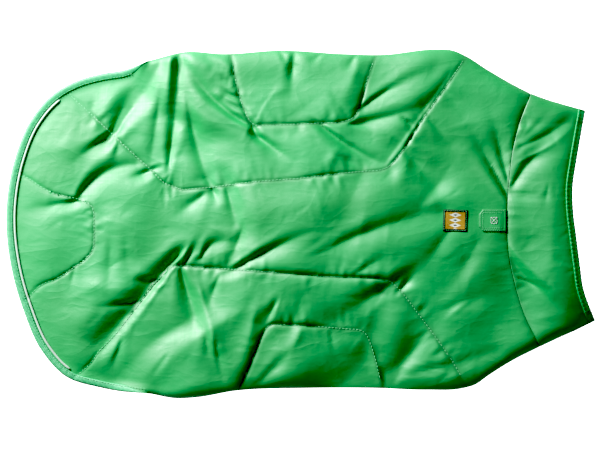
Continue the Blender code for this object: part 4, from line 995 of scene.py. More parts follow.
COLLAR_MIDDLE = (9.0, 3.6)  # height of a side roll at the seam, and how much lower at the neck
MIDDLE_RUN = (222.0, 45.0)
SEAM_PLACES = np.linspace(0, 1, 60)
seam_wall = quilted_wall(*resampled(LINES["seam"], SEAM_PLACES).T)
COLLAR_LIP = (1.4, 4.0)  # how high the collar stands over the seam, and how soon
COLLAR_WALL = (7.4, 60.0)  # its own thickness, and how far from the seam it has it
COLLAR_LEAST = 1.5
COLLAR_HOLD = 3.0
COLLAR_SWELLS = 0.5
NECK_HOLD = (5.0, 16.0)  # the tape holds the wall thin up to here, and the wall grows over so much
COLLAR_RISE = 3.2
RISE_RUN = (208.0, 48.0)
NECK_PINCH = (1.1, 5.0)
COLLAR_ROLL = 14.0
COLLAR_UNDER_ROLL = 6.0
COLLAR_UNDER_SWELL = (9.0, 25.0)
NECK_OPENING = (1.0, 2.2)  # between the two layers inside, and how much more at the neck
ROLL_TURN = 2.6
ROLL_STRIP = (3.0, 12.0)


def collar_middle(x):
    """Height of a side roll's outermost line."""
    return COLLAR_MIDDLE[0] - COLLAR_MIDDLE[1] * ramp(x, MIDDLE_RUN)


def collar_wall(x, y):
    """The upper wall: as high as the back at their seam, padded over the middle, and thin under the
    neck tape."""
    seam = LINES["seam"]
    off, run, away_x, _ = nearest(seam, x, y)
    from_neck = nearest(LINES["neck"], x, y)[0]
    at_seam = np.interp(run / lengths(seam)[-1], SEAM_PLACES, seam_wall)
    lip = at_seam + COLLAR_LIP[0] * (1 - np.exp(-off / COLLAR_LIP[1]))
    full = lip + (COLLAR_WALL[0] - lip) * smooth_step(off / COLLAR_WALL[1])
    full += puckers("seam", off, run, -away_x)
    relief = COLLAR_FOLD_DEPTH * folds(COLLAR_FOLDS, x, y) + folds(COLLAR_CREASES, x, y)
    relief += COLLAR_SWELLS * unevenness(x, y)
    full += relief * (1 - np.exp(-off / COLLAR_HOLD))
    bound = 1 - np.exp(-np.maximum(from_neck - NECK_HOLD[0], 0) / NECK_HOLD[1])
    return EDGE_WALL + np.maximum(full - EDGE_WALL, COLLAR_LEAST) * bound


def collar_top(x, y):
    """The upper outer face: it rises towards the neck, is pinched by the tape, and rounds down to
    the middle of the side rolls."""
    from_neck = nearest(LINES["neck"], x, y)[0]
    pinch = NECK_PINCH[0] * np.exp(-((from_neck / NECK_PINCH[1]) ** 2))
    raised = COLLAR_RISE * ramp(x, RISE_RUN) - pinch
    full = LIFT + neck_gape(x, y) + collar_wall(x, y) + raised
    middle = collar_middle(x)
    return middle + (full - middle) * rounded(collar_side_distance(x, y) / COLLAR_ROLL)


# %% Faces of the collar


def slid(plan, shift):
    """Each point moved along its own row of the grid by the shift given for it."""
    moved = np.empty_like(plan)
    for row, by, to in zip(plan, shift, moved):
        run = lengths(row)
        to[:] = np.stack([np.interp(run + by, run, row[:, k]) for k in range(2)], axis=1)
    return moved


def collar_faces():
    """The collar's outer and inner faces as grids."""
    plan = collar_plan()
    x, y = plan[..., 0], plan[..., 1]
    columns = np.arange(plan.shape[1])
    far, near = COLLAR_UNDER_COLUMNS - 1, COLLAR_UNDER_COLUMNS + COLLAR_TOP_COLUMNS - 2
    under = (columns < far) | (columns > near)
    on_fold = (columns == far) | (columns == near)
    to_neck = np.zeros_like(x)
    to_neck[:-1] = np.cumsum(np.linalg.norm(np.diff(plan, axis=0), axis=-1)[::-1], axis=0)[::-1]
    from_fold = collar_side_distance(x, y)
    middle = collar_middle(x)
    below = np.maximum(middle * (1 - rounded(from_fold / COLLAR_UNDER_ROLL)), off_edge(to_neck))
    outer_z = np.where(under, below, collar_top(x, y))
    outer_z = np.where(on_fold, middle, outer_z)
    lower = lower_wall(to_neck, COLLAR_UNDER_SWELL)
    opening = NECK_OPENING[0] + NECK_OPENING[1] * (1 - ramp(to_neck, COLLAR_UNDER_SWELL))
    upper = lower + opening + neck_gape(x, y)
    inner_z = np.where(under, lower, upper)
    inner_z = np.where(on_fold, (lower + upper) / 2, inner_z)
    turn = EDGE_WALL + ROLL_TURN * ramp(to_neck, UNDER_SWELL)
    turn = turn * (1 - ramp(from_fold, ROLL_STRIP))
    outer_z = np.where(under | on_fold, outer_z, np.maximum(outer_z, upper + EDGE_WALL))
    inward = np.where((columns < far) | ((columns > (far + near) / 2) & (columns <= near)), -1, 1)
    return solid(plan, outer_z), solid(slid(plan, inward * turn), inner_z)


collar_outer, collar_inner = collar_faces()
collar = add_piece("collar_cloth", closed_wall(collar_outer, collar_inner))
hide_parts("collar")

# %% [markdown]
# ## Binding tapes
# Every cut edge is wrapped in a folded tape, stitched through near its inner border. A tape is a
# section carried along the edge: over the outer face, round the edge and back along the inner
# face, domed a little, with a hidden side that follows the cloth. The tape at the neck is elastic,
# so it is gathered into fine ribs.

# %% Tape section
TAPE_OUT = np.array([  # in from the edge, and lift off the cloth
    (6.3, 0.12), (6.3, 0.3), (5.6, 0.7), (4.4, 1.0), (2.6, 1.18), (1.0, 1.1), (0, 0.88),
])
NECK_OUT = np.array([
    (6.3, 0.12), (6.3, 0.4), (5.8, 1.1), (4.9, 1.4), (3.6, 0.9), (1.6, 0.4), (0, 0.3),
])
TAPE_EDGE = np.array([(0.7, 0.95), (1.05, 0.5), (0.7, 0.05)])  # out past the edge, share of height
HIDDEN = 0.1
TAPE_TAPER = 30.0
TAPE_END = (0.03, 0.15)  # what is left of its width and its height at its ends
TAPE_WIDTH = 5.6
FULL_WIDTH = 6.0
TAPE_RIBS = (7.0, 0.05)  # pitch, share of the lift
NECK_RIBS = (3.9, 0.12)


def ribs(run, pitch, rise):
    """Fine gathers across a tape, a little uneven."""
    wander = 0.6 * np.sin(run / 9.0) + 0.4 * np.sin(run / 4.1 + 1)
    return rise * np.sin(2 * np.pi * run / pitch + wander)


def tape_grids(outer, inner, reach, gathers=TAPE_RIBS, section=TAPE_OUT):
    """outer(d) and inner(d) give the points of the cloth's two faces at the distance d in from the
    edge, at every station along it. The section's lifts are measured off them. Towards its ends the
    tape gets narrow and low, where it turns out of sight."""
    edge_out, edge_in = outer(0.0), inner(0.0)
    through = edge_out - edge_in
    away = edge_out - outer(1.0)
    away /= np.linalg.norm(away, axis=1, keepdims=True)
    run = lengths(edge_out)
    wave = 1 + ribs(run, *gathers)[:, None]
    up = np.array([0, 0, 1.0]) * (np.sign(through[:, 2:]) + (through[:, 2:] == 0))
    grown = smooth_step(np.minimum(run, run[-1] - run) / TAPE_TAPER)[:, None]
    full, low = (least + (1 - least) * grown for least in TAPE_END)
    scale = reach / section[0, 0] * full
    seen, hidden = [], []
    for d, lift in section:
        seen.append(outer(d * scale) + up * (HIDDEN + (lift - HIDDEN) * wave * low))
        hidden.append(outer(d * scale) + up * HIDDEN)
    for out, share in TAPE_EDGE:
        seen.append(edge_in + through * share + away * out * wave * full)
        hidden.append(edge_in + through * share + away * HIDDEN * full)
    for d, lift in section[::-1]:
        seen.append(inner(d * scale) - up * (HIDDEN + (lift - HIDDEN) * wave * low))
        hidden.append(inner(d * scale) - up * HIDDEN)
    return closed_wall(np.stack(seen, axis=1), np.stack(hidden, axis=1))


def plan_faces(line, left, top, bottom):
    """Two faces beside a plan line, from their height functions."""
    inward = across(line) * left

    def face(height):
        def at(d):
            plan = line + inward * np.reshape(d, (-1, 1))
            return solid(plan, height(plan[:, 0], plan[:, 1]))
        return at

    return face(top), face(bottom)


def row_faces(first, second):
    """Two faces of a panel beside the first rows of its grids, out to a few rows in."""

    def face(grid):
        depth = np.concatenate([np.zeros((1, grid.shape[1])),
                                np.cumsum(np.linalg.norm(np.diff(grid, axis=0), axis=-1), axis=0)])

        def at(d):
            column = np.arange(grid.shape[1])
            into = np.broadcast_to(np.ravel(d), column.shape)
            row = np.clip((depth <= into).sum(0) - 1, 0, len(depth) - 2)
            start, end = depth[row, column], depth[row + 1, column]
            share = np.clip((into - start) / (end - start), 0, 1)[:, None]
            return grid[row, column] * (1 - share) + grid[row + 1, column] * share
        return at

    return face(first), face(second)


# %% Tapes on the hem, the belly and the neck
TAPE_SPACING = 1.6
NECK_SPACING = 0.55
BELLY_ROWS, BELLY_TRIM = slice(0, 20), slice(2, -2)
NECK_ROWS = 16


def turned_faces(path, left, side):
    """The two faces of a side's turned-under hem."""
    return plan_faces(path, left, lambda x, y: side_under(x, y, side),
                      lambda x, y: side_over(x, y, side))


def tape_path(line, start, end):
    """The stations of a tape along an edge, from start to end millimetres inside its ends."""
    return spaced(LINES[line], TAPE_SPACING, start, end)


tapes = {
    "hem_tape": add_piece("hem_tape", tape_grids(
        *plan_faces(tape_path("hem", 0.6, 0.6), 1, back_top, lining), TAPE_WIDTH)),
    "far_side_tape": add_piece("far_side_tape", tape_grids(
        *turned_faces(tape_path("far_turned", 1.0, 2.0), 1, "far"), TAPE_WIDTH)),
    "near_side_tape": add_piece("near_side_tape", tape_grids(
        *turned_faces(tape_path("near_turned", 1.0, 2.0), -1, "near"), TAPE_WIDTH)),
    "belly_tape": add_piece("belly_tape", tape_grids(
        *row_faces(chest_inner[BELLY_ROWS, BELLY_TRIM], chest_outer[BELLY_ROWS, BELLY_TRIM]),
        FULL_WIDTH)),
}


def finer(grid, run, at):
    """The columns of a grid, whose places along its rows are given, taken again at other places."""
    return np.stack([
        np.stack([np.interp(at, run, row[:, axis]) for axis in range(3)], axis=1) for row in grid
    ])


neck_rows = [face[::-1, 1:-1][:NECK_ROWS] for face in (collar_outer, collar_inner)]
neck_run = lengths(neck_rows[0][0])
neck_places = np.linspace(0, neck_run[-1], int(neck_run[-1] / NECK_SPACING))
neck_faces = row_faces(*(finer(rows, neck_run, neck_places) for rows in neck_rows))
tapes["neck_tape"] = add_piece(
    "neck_tape", tape_grids(*neck_faces, FULL_WIDTH, NECK_RIBS, NECK_OUT)
)
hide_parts("hem_binding")
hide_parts("far_side_binding")
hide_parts("near_side_binding")
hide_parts("belly_binding")
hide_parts("neck_binding")

# %% [markdown]
# ## Piping, flap and label
# A flat silver cord lies inside the tail's binding. A small flap covers the leash slit at the
# neck, and a woven label is sewn on beside it. Each follows the back's outer face, so its height
# is the back's height at the same place and a little more.

# %% Silver piping
PIPING_IN = 7.3
PIPING_HALF = (1.1, 0.8)
PIPING_LIFT = 0.15
PIPING_SIDES = 14
PIPING_TAPER = 4.0
PIPING_FROM = (-228.0, -219.0)  # where it comes out of the binding, far and near side


def ring_tube(line, heights, half):
    """An oval section carried along a plan line, closed round and tapered to its ends."""
    left = across(line)
    turn = np.linspace(0, 2 * np.pi, PIPING_SIDES + 1)
    taper = rounded(np.minimum(lengths(line), lengths(line)[::-1]) / PIPING_TAPER)[:, None]
    side = np.cos(turn) * half[0] * taper
    rise = (1 + np.sin(turn)) * half[1] * taper
    plan = line[:, None] + left[:, None] * side[..., None]
    return solid(plan, heights[:, None] + rise)


hem_line = spaced(LINES["hem"], TAPE_SPACING)
piping_line = hem_line + across(hem_line) * PIPING_IN
piping_line = piping_line[piping_line[:, 0] < np.where(piping_line[:, 1] > 0, *PIPING_FROM)]
piping_tube = ring_tube(piping_line, back_top(*piping_line.T) + PIPING_LIFT, PIPING_HALF)
piping = add_piece("silver_piping", [(piping_tube, False)])
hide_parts("reflective_piping")

# %% Flap and label
FLAP_X = (170.6, 196.6)
FLAP_Y = (-6.9, 14.6)
FLAP_CUT = 4.5
LABEL_TILT = -0.03
PATCH_LIFT = (0.15, 0.25)  # of its under side and of its upper side's border
PATCH_BORDER = (0.35, 0.7)  # its thickness there, and how soon it is full


def sewn_patch(name, x_range, y_range, thickness, cut, cells, tilt=0.0):
    """A small flat piece on the back's outer face. Its rear corners are cut, its borders are
    rounded over half a millimetre, and it may be turned a little."""
    s = np.linspace(0, 1, cells[0])
    t = np.linspace(-1, 1, cells[1])
    length, half = x_range[1] - x_range[0], (y_range[1] - y_range[0]) / 2
    x = length * s[:, None] + 0 * t
    reach = half - cut * (1 - smooth_step(x / max(cut, 1e-6)))
    y = reach * t
    border = np.minimum.reduce([x, length - x, reach - np.abs(y)])
    turned = np.stack([x - length / 2 - y * tilt, y + (x - length / 2) * tilt], axis=-1)
    plan = turned + np.array([np.mean(x_range), np.mean(y_range)])
    base = smoothed_top(plan[..., 0], plan[..., 1])
    thin, border_width = PATCH_BORDER
    grown = thin + (1 - thin) * rounded(border / border_width)
    crown = base + PATCH_LIFT[1] + thickness * grown
    piece = add_piece(name, closed_wall(solid(plan, crown), solid(plan, base + PATCH_LIFT[0])))
    return piece, plan, crown


def smoothed_top(x, y):
    """The back's height evened out over a few millimetres, as a stiff patch lies on soft cloth."""
    total = 0
    places = [(0, 0), (4, 0), (-4, 0), (0, 4), (0, -4), (3, 3), (-3, 3), (3, -3), (-3, -3)]
    for dx, dy in places:
        total = total + back_top(x + dx, y + dy)
    return np.maximum(total / len(places), back_top(x, y))


flap, flap_plan, flap_top = sewn_patch("flap_cloth", FLAP_X, FLAP_Y, 0.75, FLAP_CUT, (52, 44))
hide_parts("leash_flap")
label, label_plan, label_top = sewn_patch(
    "label_cloth", LABEL_X, LABEL_Y, 0.5, 0.0, (44, 40), LABEL_TILT
)
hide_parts("woven_label")

# %% [markdown]
# ## Stitches
# The coat's stitches show as short bright dashes, three to a centimetre on the quilting and closer
# on the small pieces. A dashed texture would do from far away. Here each is a small six-sided bead
# with tapered ends, laid in its groove, so it catches the light. All the stitches of one thread
# are one mesh.

# %% Laying stitches
STITCHES = {  # each thread's pitch, and the length and radius of its stitches
    "quilting_thread": (3.3, 2.3, 0.3),
    "hem_thread": (2.8, 2.0, 0.24),
    "flap_thread": (2.1, 1.5, 0.2),
    "label_thread": (1.9, 1.3, 0.17),
    "flap_mark": (1.45, 1.25, 0.28),
}
RING_SIDES = 6
RING_PLACES = np.array([-0.5, -0.3, 0.3, 0.5])  # along a stitch, in shares of its length
RING_SIZES = np.array([0.35, 1, 1, 0.35])


def stitches_on(path, pitch, length):
    """Middles and directions of the stitches along a path of points in space."""
    size = lengths(path)[-1]
    at = np.arange(pitch / 2, size, pitch)
    ends = [resampled(path, np.clip(at + step * length / 2, 0, size) / size) for step in (-1, 1)]
    way = ends[1] - ends[0]
    return (ends[0] + ends[1]) / 2, way / np.linalg.norm(way, axis=1, keepdims=True)


def sew(name, paths):
    """All the stitches of one thread. Every stitch is four rings along its direction: small, full,
    full, small, with a cap at both ends."""
    pitch, length, radius = STITCHES[name]
    laid = [stitches_on(path, pitch, length) for path in paths]
    middle, way = (np.concatenate(found) for found in zip(*laid))
    side = np.cross(way, [0, 0, 1.0])
    side /= np.linalg.norm(side, axis=1, keepdims=True)
    up = np.cross(side, way)
    turn = np.linspace(0, 2 * np.pi, RING_SIDES, endpoint=False)[:, None]
    spoke = np.cos(turn) * side[:, None] + np.sin(turn) * up[:, None]
    place, size = length * RING_PLACES[:, None, None], radius * RING_SIZES[:, None, None]
    points = middle[:, None, None] + place * way[:, None, None] + size * spoke[:, None]
    count, rings = len(middle), len(RING_PLACES)
    ring = np.arange(RING_SIDES)
    low, high = ring, ring + RING_SIDES
    quads = np.stack([low, np.roll(low, -1), np.roll(high, -1), high], axis=1)
    quads = np.concatenate([quads + k * RING_SIDES for k in range(rings - 1)])
    base = np.arange(count)[:, None, None] * rings * RING_SIDES
    faces = (quads + base).reshape(-1, 4).tolist()
    for cap in (ring[::-1], ring + (rings - 1) * RING_SIDES):
        faces += (cap + base[:, 0]).tolist()
    mesh = new_mesh(name, points.reshape(-1, 3), faces)
    fixed = bmesh.new()
    fixed.from_mesh(mesh)
    bmesh.ops.recalc_face_normals(fixed, faces=fixed.faces)
    fixed.to_mesh(mesh)
    fixed.free()
    mesh.shade_smooth()
    piece = linked(name, mesh)
    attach(piece, "root")
    print(f"{name}: {count} stitches, {len(mesh.polygons)} faces")
    return piece


def on_back(line, lift):
    """A plan line laid on the back, a little over its face."""
    return solid(line, back_top(line[:, 0], line[:, 1]) + lift)


STITCH_ENDS = {  # how far inside its line's ends the stitching begins and ends
    "far_channel": (2, 9), "near_channel": (2, 9), "tail_cell": (2, 2),
    "far_cell": (9, 9), "near_cell": (9, 9),
}
QUILT_LIFT = 0.2
HEM_ENDS = (20, 4)
HEM_IN = 4.6
HEM_LIFT = 1.12
quilt_paths = [on_back(spaced(QUILTING[name], 1.0, *ends), QUILT_LIFT)
               for name, ends in STITCH_ENDS.items()]
hem_path = spaced(LINES["hem"], 1.0, *HEM_ENDS)
hem_path = hem_path + across(hem_path) * HEM_IN
quilt_thread = sew("quilting_thread", quilt_paths)
hem_thread = sew("hem_thread", [on_back(hem_path, HEM_LIFT)])


def patch_paths(plan, top, inset):
    """The paths along a sewn patch's rear, far, near and front sides, some cells in from them."""
    face, inner = solid(plan, top), slice(inset, -inset)
    return [face[inset, inner], face[inner, -inset - 1][::-1], face[inner, inset],
            face[-inset - 1, inner]]


FLAP_INSETS = (3, 7)  # two rows of stitches, and none at the front, where the collar seam holds it
LABEL_INSET = 2
flap_paths = [path for inset in FLAP_INSETS
              for path in patch_paths(flap_plan, flap_top + 0.05, inset)[:3]]
flap_thread = sew("flap_thread", flap_paths)
label_thread = sew("label_thread", patch_paths(label_plan, label_top + 0.03, LABEL_INSET))

# %% A white box stitch on the flap
MARK_AT = (185.0, 3.8)
MARK_HALF = 2.9
MARK_LIFT = 1.2


def mark_paths():
    """A square with its two diagonals, the usual way to sew a strap down."""
    corners = MARK_HALF * np.array([(-1, -1), (1, -1), (1, 1), (-1, 1)])
    runs = [(corners[k], corners[(k + 1) % 4]) for k in range(4)]
    runs += [(corners[0], corners[2]), (corners[1], corners[3])]
    paths = []
    for start, end in runs:
        plan = np.linspace(start, end, 30) + MARK_AT
        paths.append(solid(plan, smoothed_top(plan[:, 0], plan[:, 1]) + MARK_LIFT))
    return paths


mark = sew("flap_mark", mark_paths())

# %% [markdown]
# ## The floor, the light and the camera
# The coat is looked at from straight above. A long lens far away keeps its outline true. The light
# is one lamp of half a metre from the tail's far side, low enough to rake across the folds,
# because satin shows its relief best so. A studio would soften it with white walls, which would
# turn the shadows grey. Here a weak green light from all round fills them, as light thrown from
# cloth to cloth does. The camera sees the floor and the room as plain white. From below the floor
# is clear, and a second lamp lights the underside through it. The tone curve holds the highlights
# down, and its black level deepens the shadows.

# %% Small tools for nodes


def wire(tree, source, target):
    """Links an output to an input, or sets the input to a plain value."""
    if isinstance(source, bpy.types.NodeSocket):
        tree.links.new(source, target)
    else:
        target.default_value = source


def calc(tree, operation, *values):
    """One step of arithmetic on sockets and numbers."""
    node = tree.nodes.new("ShaderNodeMath")
    node.operation = operation
    for value, socket in zip(values, node.inputs):
        wire(tree, value, socket)
    return node.outputs["Value"]


def node_material(name):
    """A new material with its node tree and its shader."""
    material = bpy.data.materials.new(name)
    material.use_nodes = True
    return material, material.node_tree, material.node_tree.nodes["Principled BSDF"]


# %% Floor, lights and camera
FLOOR_HALF = 3.0
FLOOR_Z = -0.0003  # just clear of the coat's flat underside
FLOOR_GLOW = 3.0
WINDOW = ((-1.16, 1.13, 0.78), (-0.02, 0, 0), 0.5, 81)  # place, aim, size, power
BELOW = ((0.5, -0.5, -1.2), (0, 0, 0), 1.0, 9)
ROOM_COLOUR = (0.3, 1, 0.5, 1)
ROOM_LIGHT = 0.1
ROOM_SEEN = 12.0
BLACK_LEVEL = (0.05, 0.042, 0.044)
MIDDLE_TONE = (0.5, 0.5)
HIGHLIGHT = (1.0, 0.84)
VIEW_WIDTH = 0.576
VIEW_HEIGHT = 2.4
VIEW_CENTRE = (-0.0006, -0.00095)
SENSOR = 36


def add_floor():
    """A white square that glows for the camera only. It is clear from behind and to shadow rays."""
    mesh = bpy.data.meshes.new("floor")
    signs = [(-1, -1), (1, -1), (1, 1), (-1, 1)]
    corners = [(x * FLOOR_HALF, y * FLOOR_HALF, FLOOR_Z) for x, y in signs]
    mesh.from_pydata(corners, [], [(0, 1, 2, 3)])
    material, tree, shader = node_material("floor")
    shader.inputs["Base Color"].default_value = (0.9, 0.9, 0.9, 1)
    shader.inputs["Roughness"].default_value = 0.9
    shader.inputs["Emission Color"].default_value = (1, 1, 1, 1)
    ray = tree.nodes.new("ShaderNodeLightPath").outputs
    side = tree.nodes.new("ShaderNodeNewGeometry").outputs
    glow = calc(tree, "MULTIPLY", ray["Is Camera Ray"], FLOOR_GLOW)
    wire(tree, glow, shader.inputs["Emission Strength"])
    clear = calc(tree, "MAXIMUM", side["Backfacing"], ray["Is Shadow Ray"])
    wire(tree, calc(tree, "SUBTRACT", 1.0, clear), shader.inputs["Alpha"])
    mesh.materials.append(material)
    linked("floor", mesh)


def add_area_light(name, place, aim, size, power):
    """A square lamp at place that faces aim."""
    data = bpy.data.lights.new(name, "AREA")
    data.shape, data.size, data.energy = "SQUARE", size, power
    lamp = linked(name, data)
    lamp.location = place
    lamp.rotation_euler = (Vector(aim) - Vector(place)).to_track_quat("-Z", "Y").to_euler()


def add_world():
    """A weak even light, which the camera sees as white."""
    world = bpy.data.worlds.new("room")
    world.use_nodes = True
    tree = world.node_tree
    back = tree.nodes["Background"]
    back.inputs["Color"].default_value = ROOM_COLOUR
    ray = tree.nodes.new("ShaderNodeLightPath").outputs
    strength = calc(tree, "MULTIPLY_ADD", ray["Is Camera Ray"], ROOM_SEEN, ROOM_LIGHT)
    wire(tree, strength, back.inputs["Strength"])
    bpy.context.scene.world = world


def add_camera():
    """Straight above, with a lens that takes in VIEW_WIDTH at the floor."""
    data = bpy.data.cameras.new("camera")
    data.sensor_width = SENSOR
    data.lens = SENSOR * VIEW_HEIGHT / VIEW_WIDTH
    data.clip_end = 20
    camera = linked("camera", data)
    camera.location = (*VIEW_CENTRE, VIEW_HEIGHT)
    bpy.context.scene.camera = camera


def set_tone():
    """The view's tone curve: black level, middle tone and highlight."""
    view = bpy.context.scene.view_settings
    view.view_transform = "Standard"
    view.use_curve_mapping = True
    view.curve_mapping.black_level = BLACK_LEVEL
    tone = view.curve_mapping.curves[3].points
    tone[-1].location = HIGHLIGHT
    tone.new(*MIDDLE_TONE)
    view.curve_mapping.update()


add_floor()
add_area_light("window", *WINDOW)
add_area_light("below", *BELOW)
add_world()
set_tone()
add_camera()
print("lens:", bpy.context.scene.camera.data.lens)

# %% [markdown]
# ## Marks that the materials follow
# Some marks follow the piece and not the room, such as a tape's ribs, which run across it wherever
# it goes. Where cloth is gathered beside a row of stitches, it is darkened a little by a painted
# shade for the groove there. Such masks could be painted by hand. Here each is a number stored on
# every point of the mesh, measured from the same lines that shaped the piece, and the materials
# read it by name.

# %% Numbers stored on the pieces


def plan_of(piece):
    """The plan place and the height of every point of a piece, in millimetres."""
    found = np.empty(3 * len(piece.data.vertices))
    piece.data.vertices.foreach_get("co", found)
    return (found.reshape(-1, 3) / MM - SHIFT).T


def store(piece, name, values):
    """One number for every point of a piece, under a name."""
    layer = piece.data.attributes.new(name, "FLOAT", "POINT")
    layer.data.foreach_set("value", np.asarray(values, np.float32))


SEAM_SHADE_REACH = 2.2


def store_seam_shade(piece, lines, rise_above):
    """seam is 1 on a line of stitches and dies away in a few millimetres. The shell darkens by it,
    a painted shade in the stitched grooves. Only the upper face has it: rise_above says from which
    height on."""
    x, y, z = plan_of(piece)
    from_line = np.min([nearest(line, x, y)[0] for line in lines], axis=0)
    store(piece, "seam", np.exp(-from_line / SEAM_SHADE_REACH) * (z > rise_above(x)))


def store_along(piece, line):
    """along is the distance along a tape in millimetres, across the distance from its edge."""
    x, y, _ = plan_of(piece)
    off, run, _, _ = nearest(line, x, y)
    store(piece, "along", run)
    store(piece, "across", off)


# The shell darkens by these numbers: a painted shade in the grooves along the stitched lines and
# round the flap.
store_seam_shade(back, [*QUILTING.values(), LINES["seam"]], side_middle)
store_seam_shade(collar, [LINES["seam"]], collar_middle)
store_seam_shade(chest, [LINES["belly"]], lambda x: 1e3)
store_seam_shade(flap, [flap_plan[0], flap_plan[:, 0], flap_plan[:, -1]], lambda x: 0)
TAPE_LINES = {
    "hem_tape": "hem", "far_side_tape": "far_turned", "near_side_tape": "near_turned",
    "belly_tape": "belly", "neck_tape": "neck",
}
for name, line in TAPE_LINES.items():
    store_along(tapes[name], LINES[line])
store_along(piping, piping_line)
print("stored marks on", 4 + len(TAPE_LINES) + 1, "pieces")

# %% [markdown]
# ## Node groups
# The same effects are wanted in several finishes: a weave, the crumple of thin nylon, and ribs
# that follow a tape. Copying nodes from material to material works but drifts apart. Each effect
# is one node group here, with its sizes as inputs, and it puts out a height and a mask only. The
# shader itself stays in the material.

# %% More tools for nodes


def noise(tree, place, scale, detail=2.0, distortion=0.0):
    """Cloudy noise, scale in clouds per metre."""
    node = tree.nodes.new("ShaderNodeTexNoise")
    wire(tree, place, node.inputs["Vector"])
    wire(tree, scale, node.inputs["Scale"])
    node.inputs["Detail"].default_value = detail
    node.inputs["Distortion"].default_value = distortion
    return node.outputs["Fac"]


def stretched(tree, place, turn, scale):
    """The place turned about z and stretched, so that a pattern runs along one direction."""
    node = tree.nodes.new("ShaderNodeMapping")
    wire(tree, place, node.inputs["Vector"])
    node.inputs["Rotation"].default_value = (0, 0, turn)
    node.inputs["Scale"].default_value = scale
    return node.outputs["Vector"]


def parts(tree, place):
    """The X, Y and Z outputs of a place."""
    node = tree.nodes.new("ShaderNodeSeparateXYZ")
    wire(tree, place, node.inputs["Vector"])
    return node.outputs


def new_group(name, inputs, outputs):
    """A shader node group with float inputs and outputs, and one vector input called Place."""
    group = bpy.data.node_groups.new(name, "ShaderNodeTree")
    group.interface.new_socket("Place", in_out="INPUT", socket_type="NodeSocketVector")
    for label, value in inputs:
        socket = group.interface.new_socket(label, in_out="INPUT", socket_type="NodeSocketFloat")
        socket.default_value = value
    for label in outputs:
        group.interface.new_socket(label, in_out="OUTPUT", socket_type="NodeSocketFloat")
    given, out = group.nodes.new("NodeGroupInput"), group.nodes.new("NodeGroupOutput")
    return group, given.outputs, out.inputs


def placed(tree, group, place, **values):
    """A group put into a material, with its own values. Returns its outputs."""
    node = tree.nodes.new("ShaderNodeGroup")
    node.node_tree = group
    wire(tree, place, node.inputs["Place"])
    for label, value in values.items():
        wire(tree, value, node.inputs[label])
    return node.outputs


# %% Weave
TURN = 2 * np.pi


def weave_group():
    """A plain weave: the product of two crossing sines stands up where a thread passes over and
    down where it passes under. Some threads are thicker, which a stretched noise gives."""
    group, given, out = new_group("weave", [("Threads", 1700.0)], ["Height", "Slub"])
    place = parts(group, given["Place"])
    number = calc(group, "MULTIPLY", given["Threads"], TURN / 2)
    warp = calc(group, "SINE", calc(group, "MULTIPLY", place["X"], number))
    weft = calc(group, "SINE", calc(group, "MULTIPLY", place["Y"], number))
    crossing = calc(group, "MULTIPLY", warp, weft)
    along = noise(group, stretched(group, given["Place"], 0, (1, 40, 1)), 28)
    over = noise(group, stretched(group, given["Place"], 0, (40, 1, 1)), 28)
    slub = calc(group, "SUBTRACT", calc(group, "ADD", along, over), 1.0)
    wire(group, calc(group, "ADD", crossing, slub), out["Height"])
    wire(group, slub, out["Slub"])
    return group


weave = weave_group()
print("group:", weave.name)

# %% Crumple


def crumple_group():
    """Thin nylon keeps small sharp creases. A ridge is one minus the distance of a noise from its
    middle value, and it is sharp where the noise crosses it. Two sizes of ridges, pulled out along
    the way the coat is folded, and a soft cloud of dents make the height. The patch is where the
    padding lies thicker, for the colour."""
    group, given, out = new_group("crumple", [("Size", 26.0)], ["Height", "Patch"])
    long_way = stretched(group, given["Place"], -0.75, (0.7, 1.15, 1))
    other_way = stretched(group, given["Place"], 0.8, (0.6, 1.3, 1))
    total = 0.0
    for way, finer, share in ((long_way, 1.0, 1.0), (other_way, 2.1, 0.42), (long_way, 4.6, 0.16)):
        cloud = noise(group, way, calc(group, "MULTIPLY", given["Size"], finer), 1.5, 0.6)
        ridge = calc(group, "ABSOLUTE", calc(group, "SUBTRACT", cloud, 0.5))
        soft = calc(group, "POWER", calc(group, "MULTIPLY", ridge, 4.0), 0.8)
        total = calc(group, "ADD", total, calc(group, "MULTIPLY", soft, -share))
    patch_value = noise(group, given["Place"], calc(group, "MULTIPLY", given["Size"], 0.45), 3.0)
    dents = calc(group, "MULTIPLY", patch_value, 0.9)
    wire(group, calc(group, "ADD", total, dents), out["Height"])
    wire(group, patch_value, out["Patch"])
    return group


crumple = crumple_group()
print("group:", crumple.name)

# %% Ribs


def ribs_group():
    """Ribs across a tape: a sine of the distance along it, with every rib's height and tone a
    little its own. The second output also makes the crowns paler: a painted highlight."""
    group, given, out = new_group("ribs", [("Along", 0.0), ("Pitch", 1.2)], ["Height", "Shade"])
    turns = calc(group, "DIVIDE", given["Along"], given["Pitch"])
    wave = calc(group, "SINE", calc(group, "MULTIPLY", turns, TURN))
    own = noise(group, given["Place"], 420.0, 1.0)
    wire(group, calc(group, "MULTIPLY_ADD", wave, 0.5, own), out["Height"])
    # Paler on each rib's crown: a painted highlight.
    crown_highlight = calc(group, "MULTIPLY_ADD", wave, 0.3, 1.0)
    wire(group, calc(group, "MULTIPLY", own, crown_highlight), out["Shade"])
    return group


rib_cloth = ribs_group()
print("group:", rib_cloth.name)

# %% Parts of a material


def object_place(tree):
    """The place on the object, in metres."""
    return tree.nodes.new("ShaderNodeTexCoord").outputs["Object"]


def stored(tree, name):
    """The number that a piece's points carry under this name."""
    node = tree.nodes.new("ShaderNodeAttribute")
    node.attribute_name = name
    return node.outputs["Fac"]


def mixed(tree, share, low, high):
    """A colour between two, by a share that changes over the surface."""
    node = tree.nodes.new("ShaderNodeMix")
    node.data_type = "RGBA"
    wire(tree, share, node.inputs["Factor"])
    for socket, colour in ((node.inputs[6], low), (node.inputs[7], high)):
        wire(tree, (*colour, 1) if isinstance(colour, tuple) else colour, socket)
    return node.outputs[2]


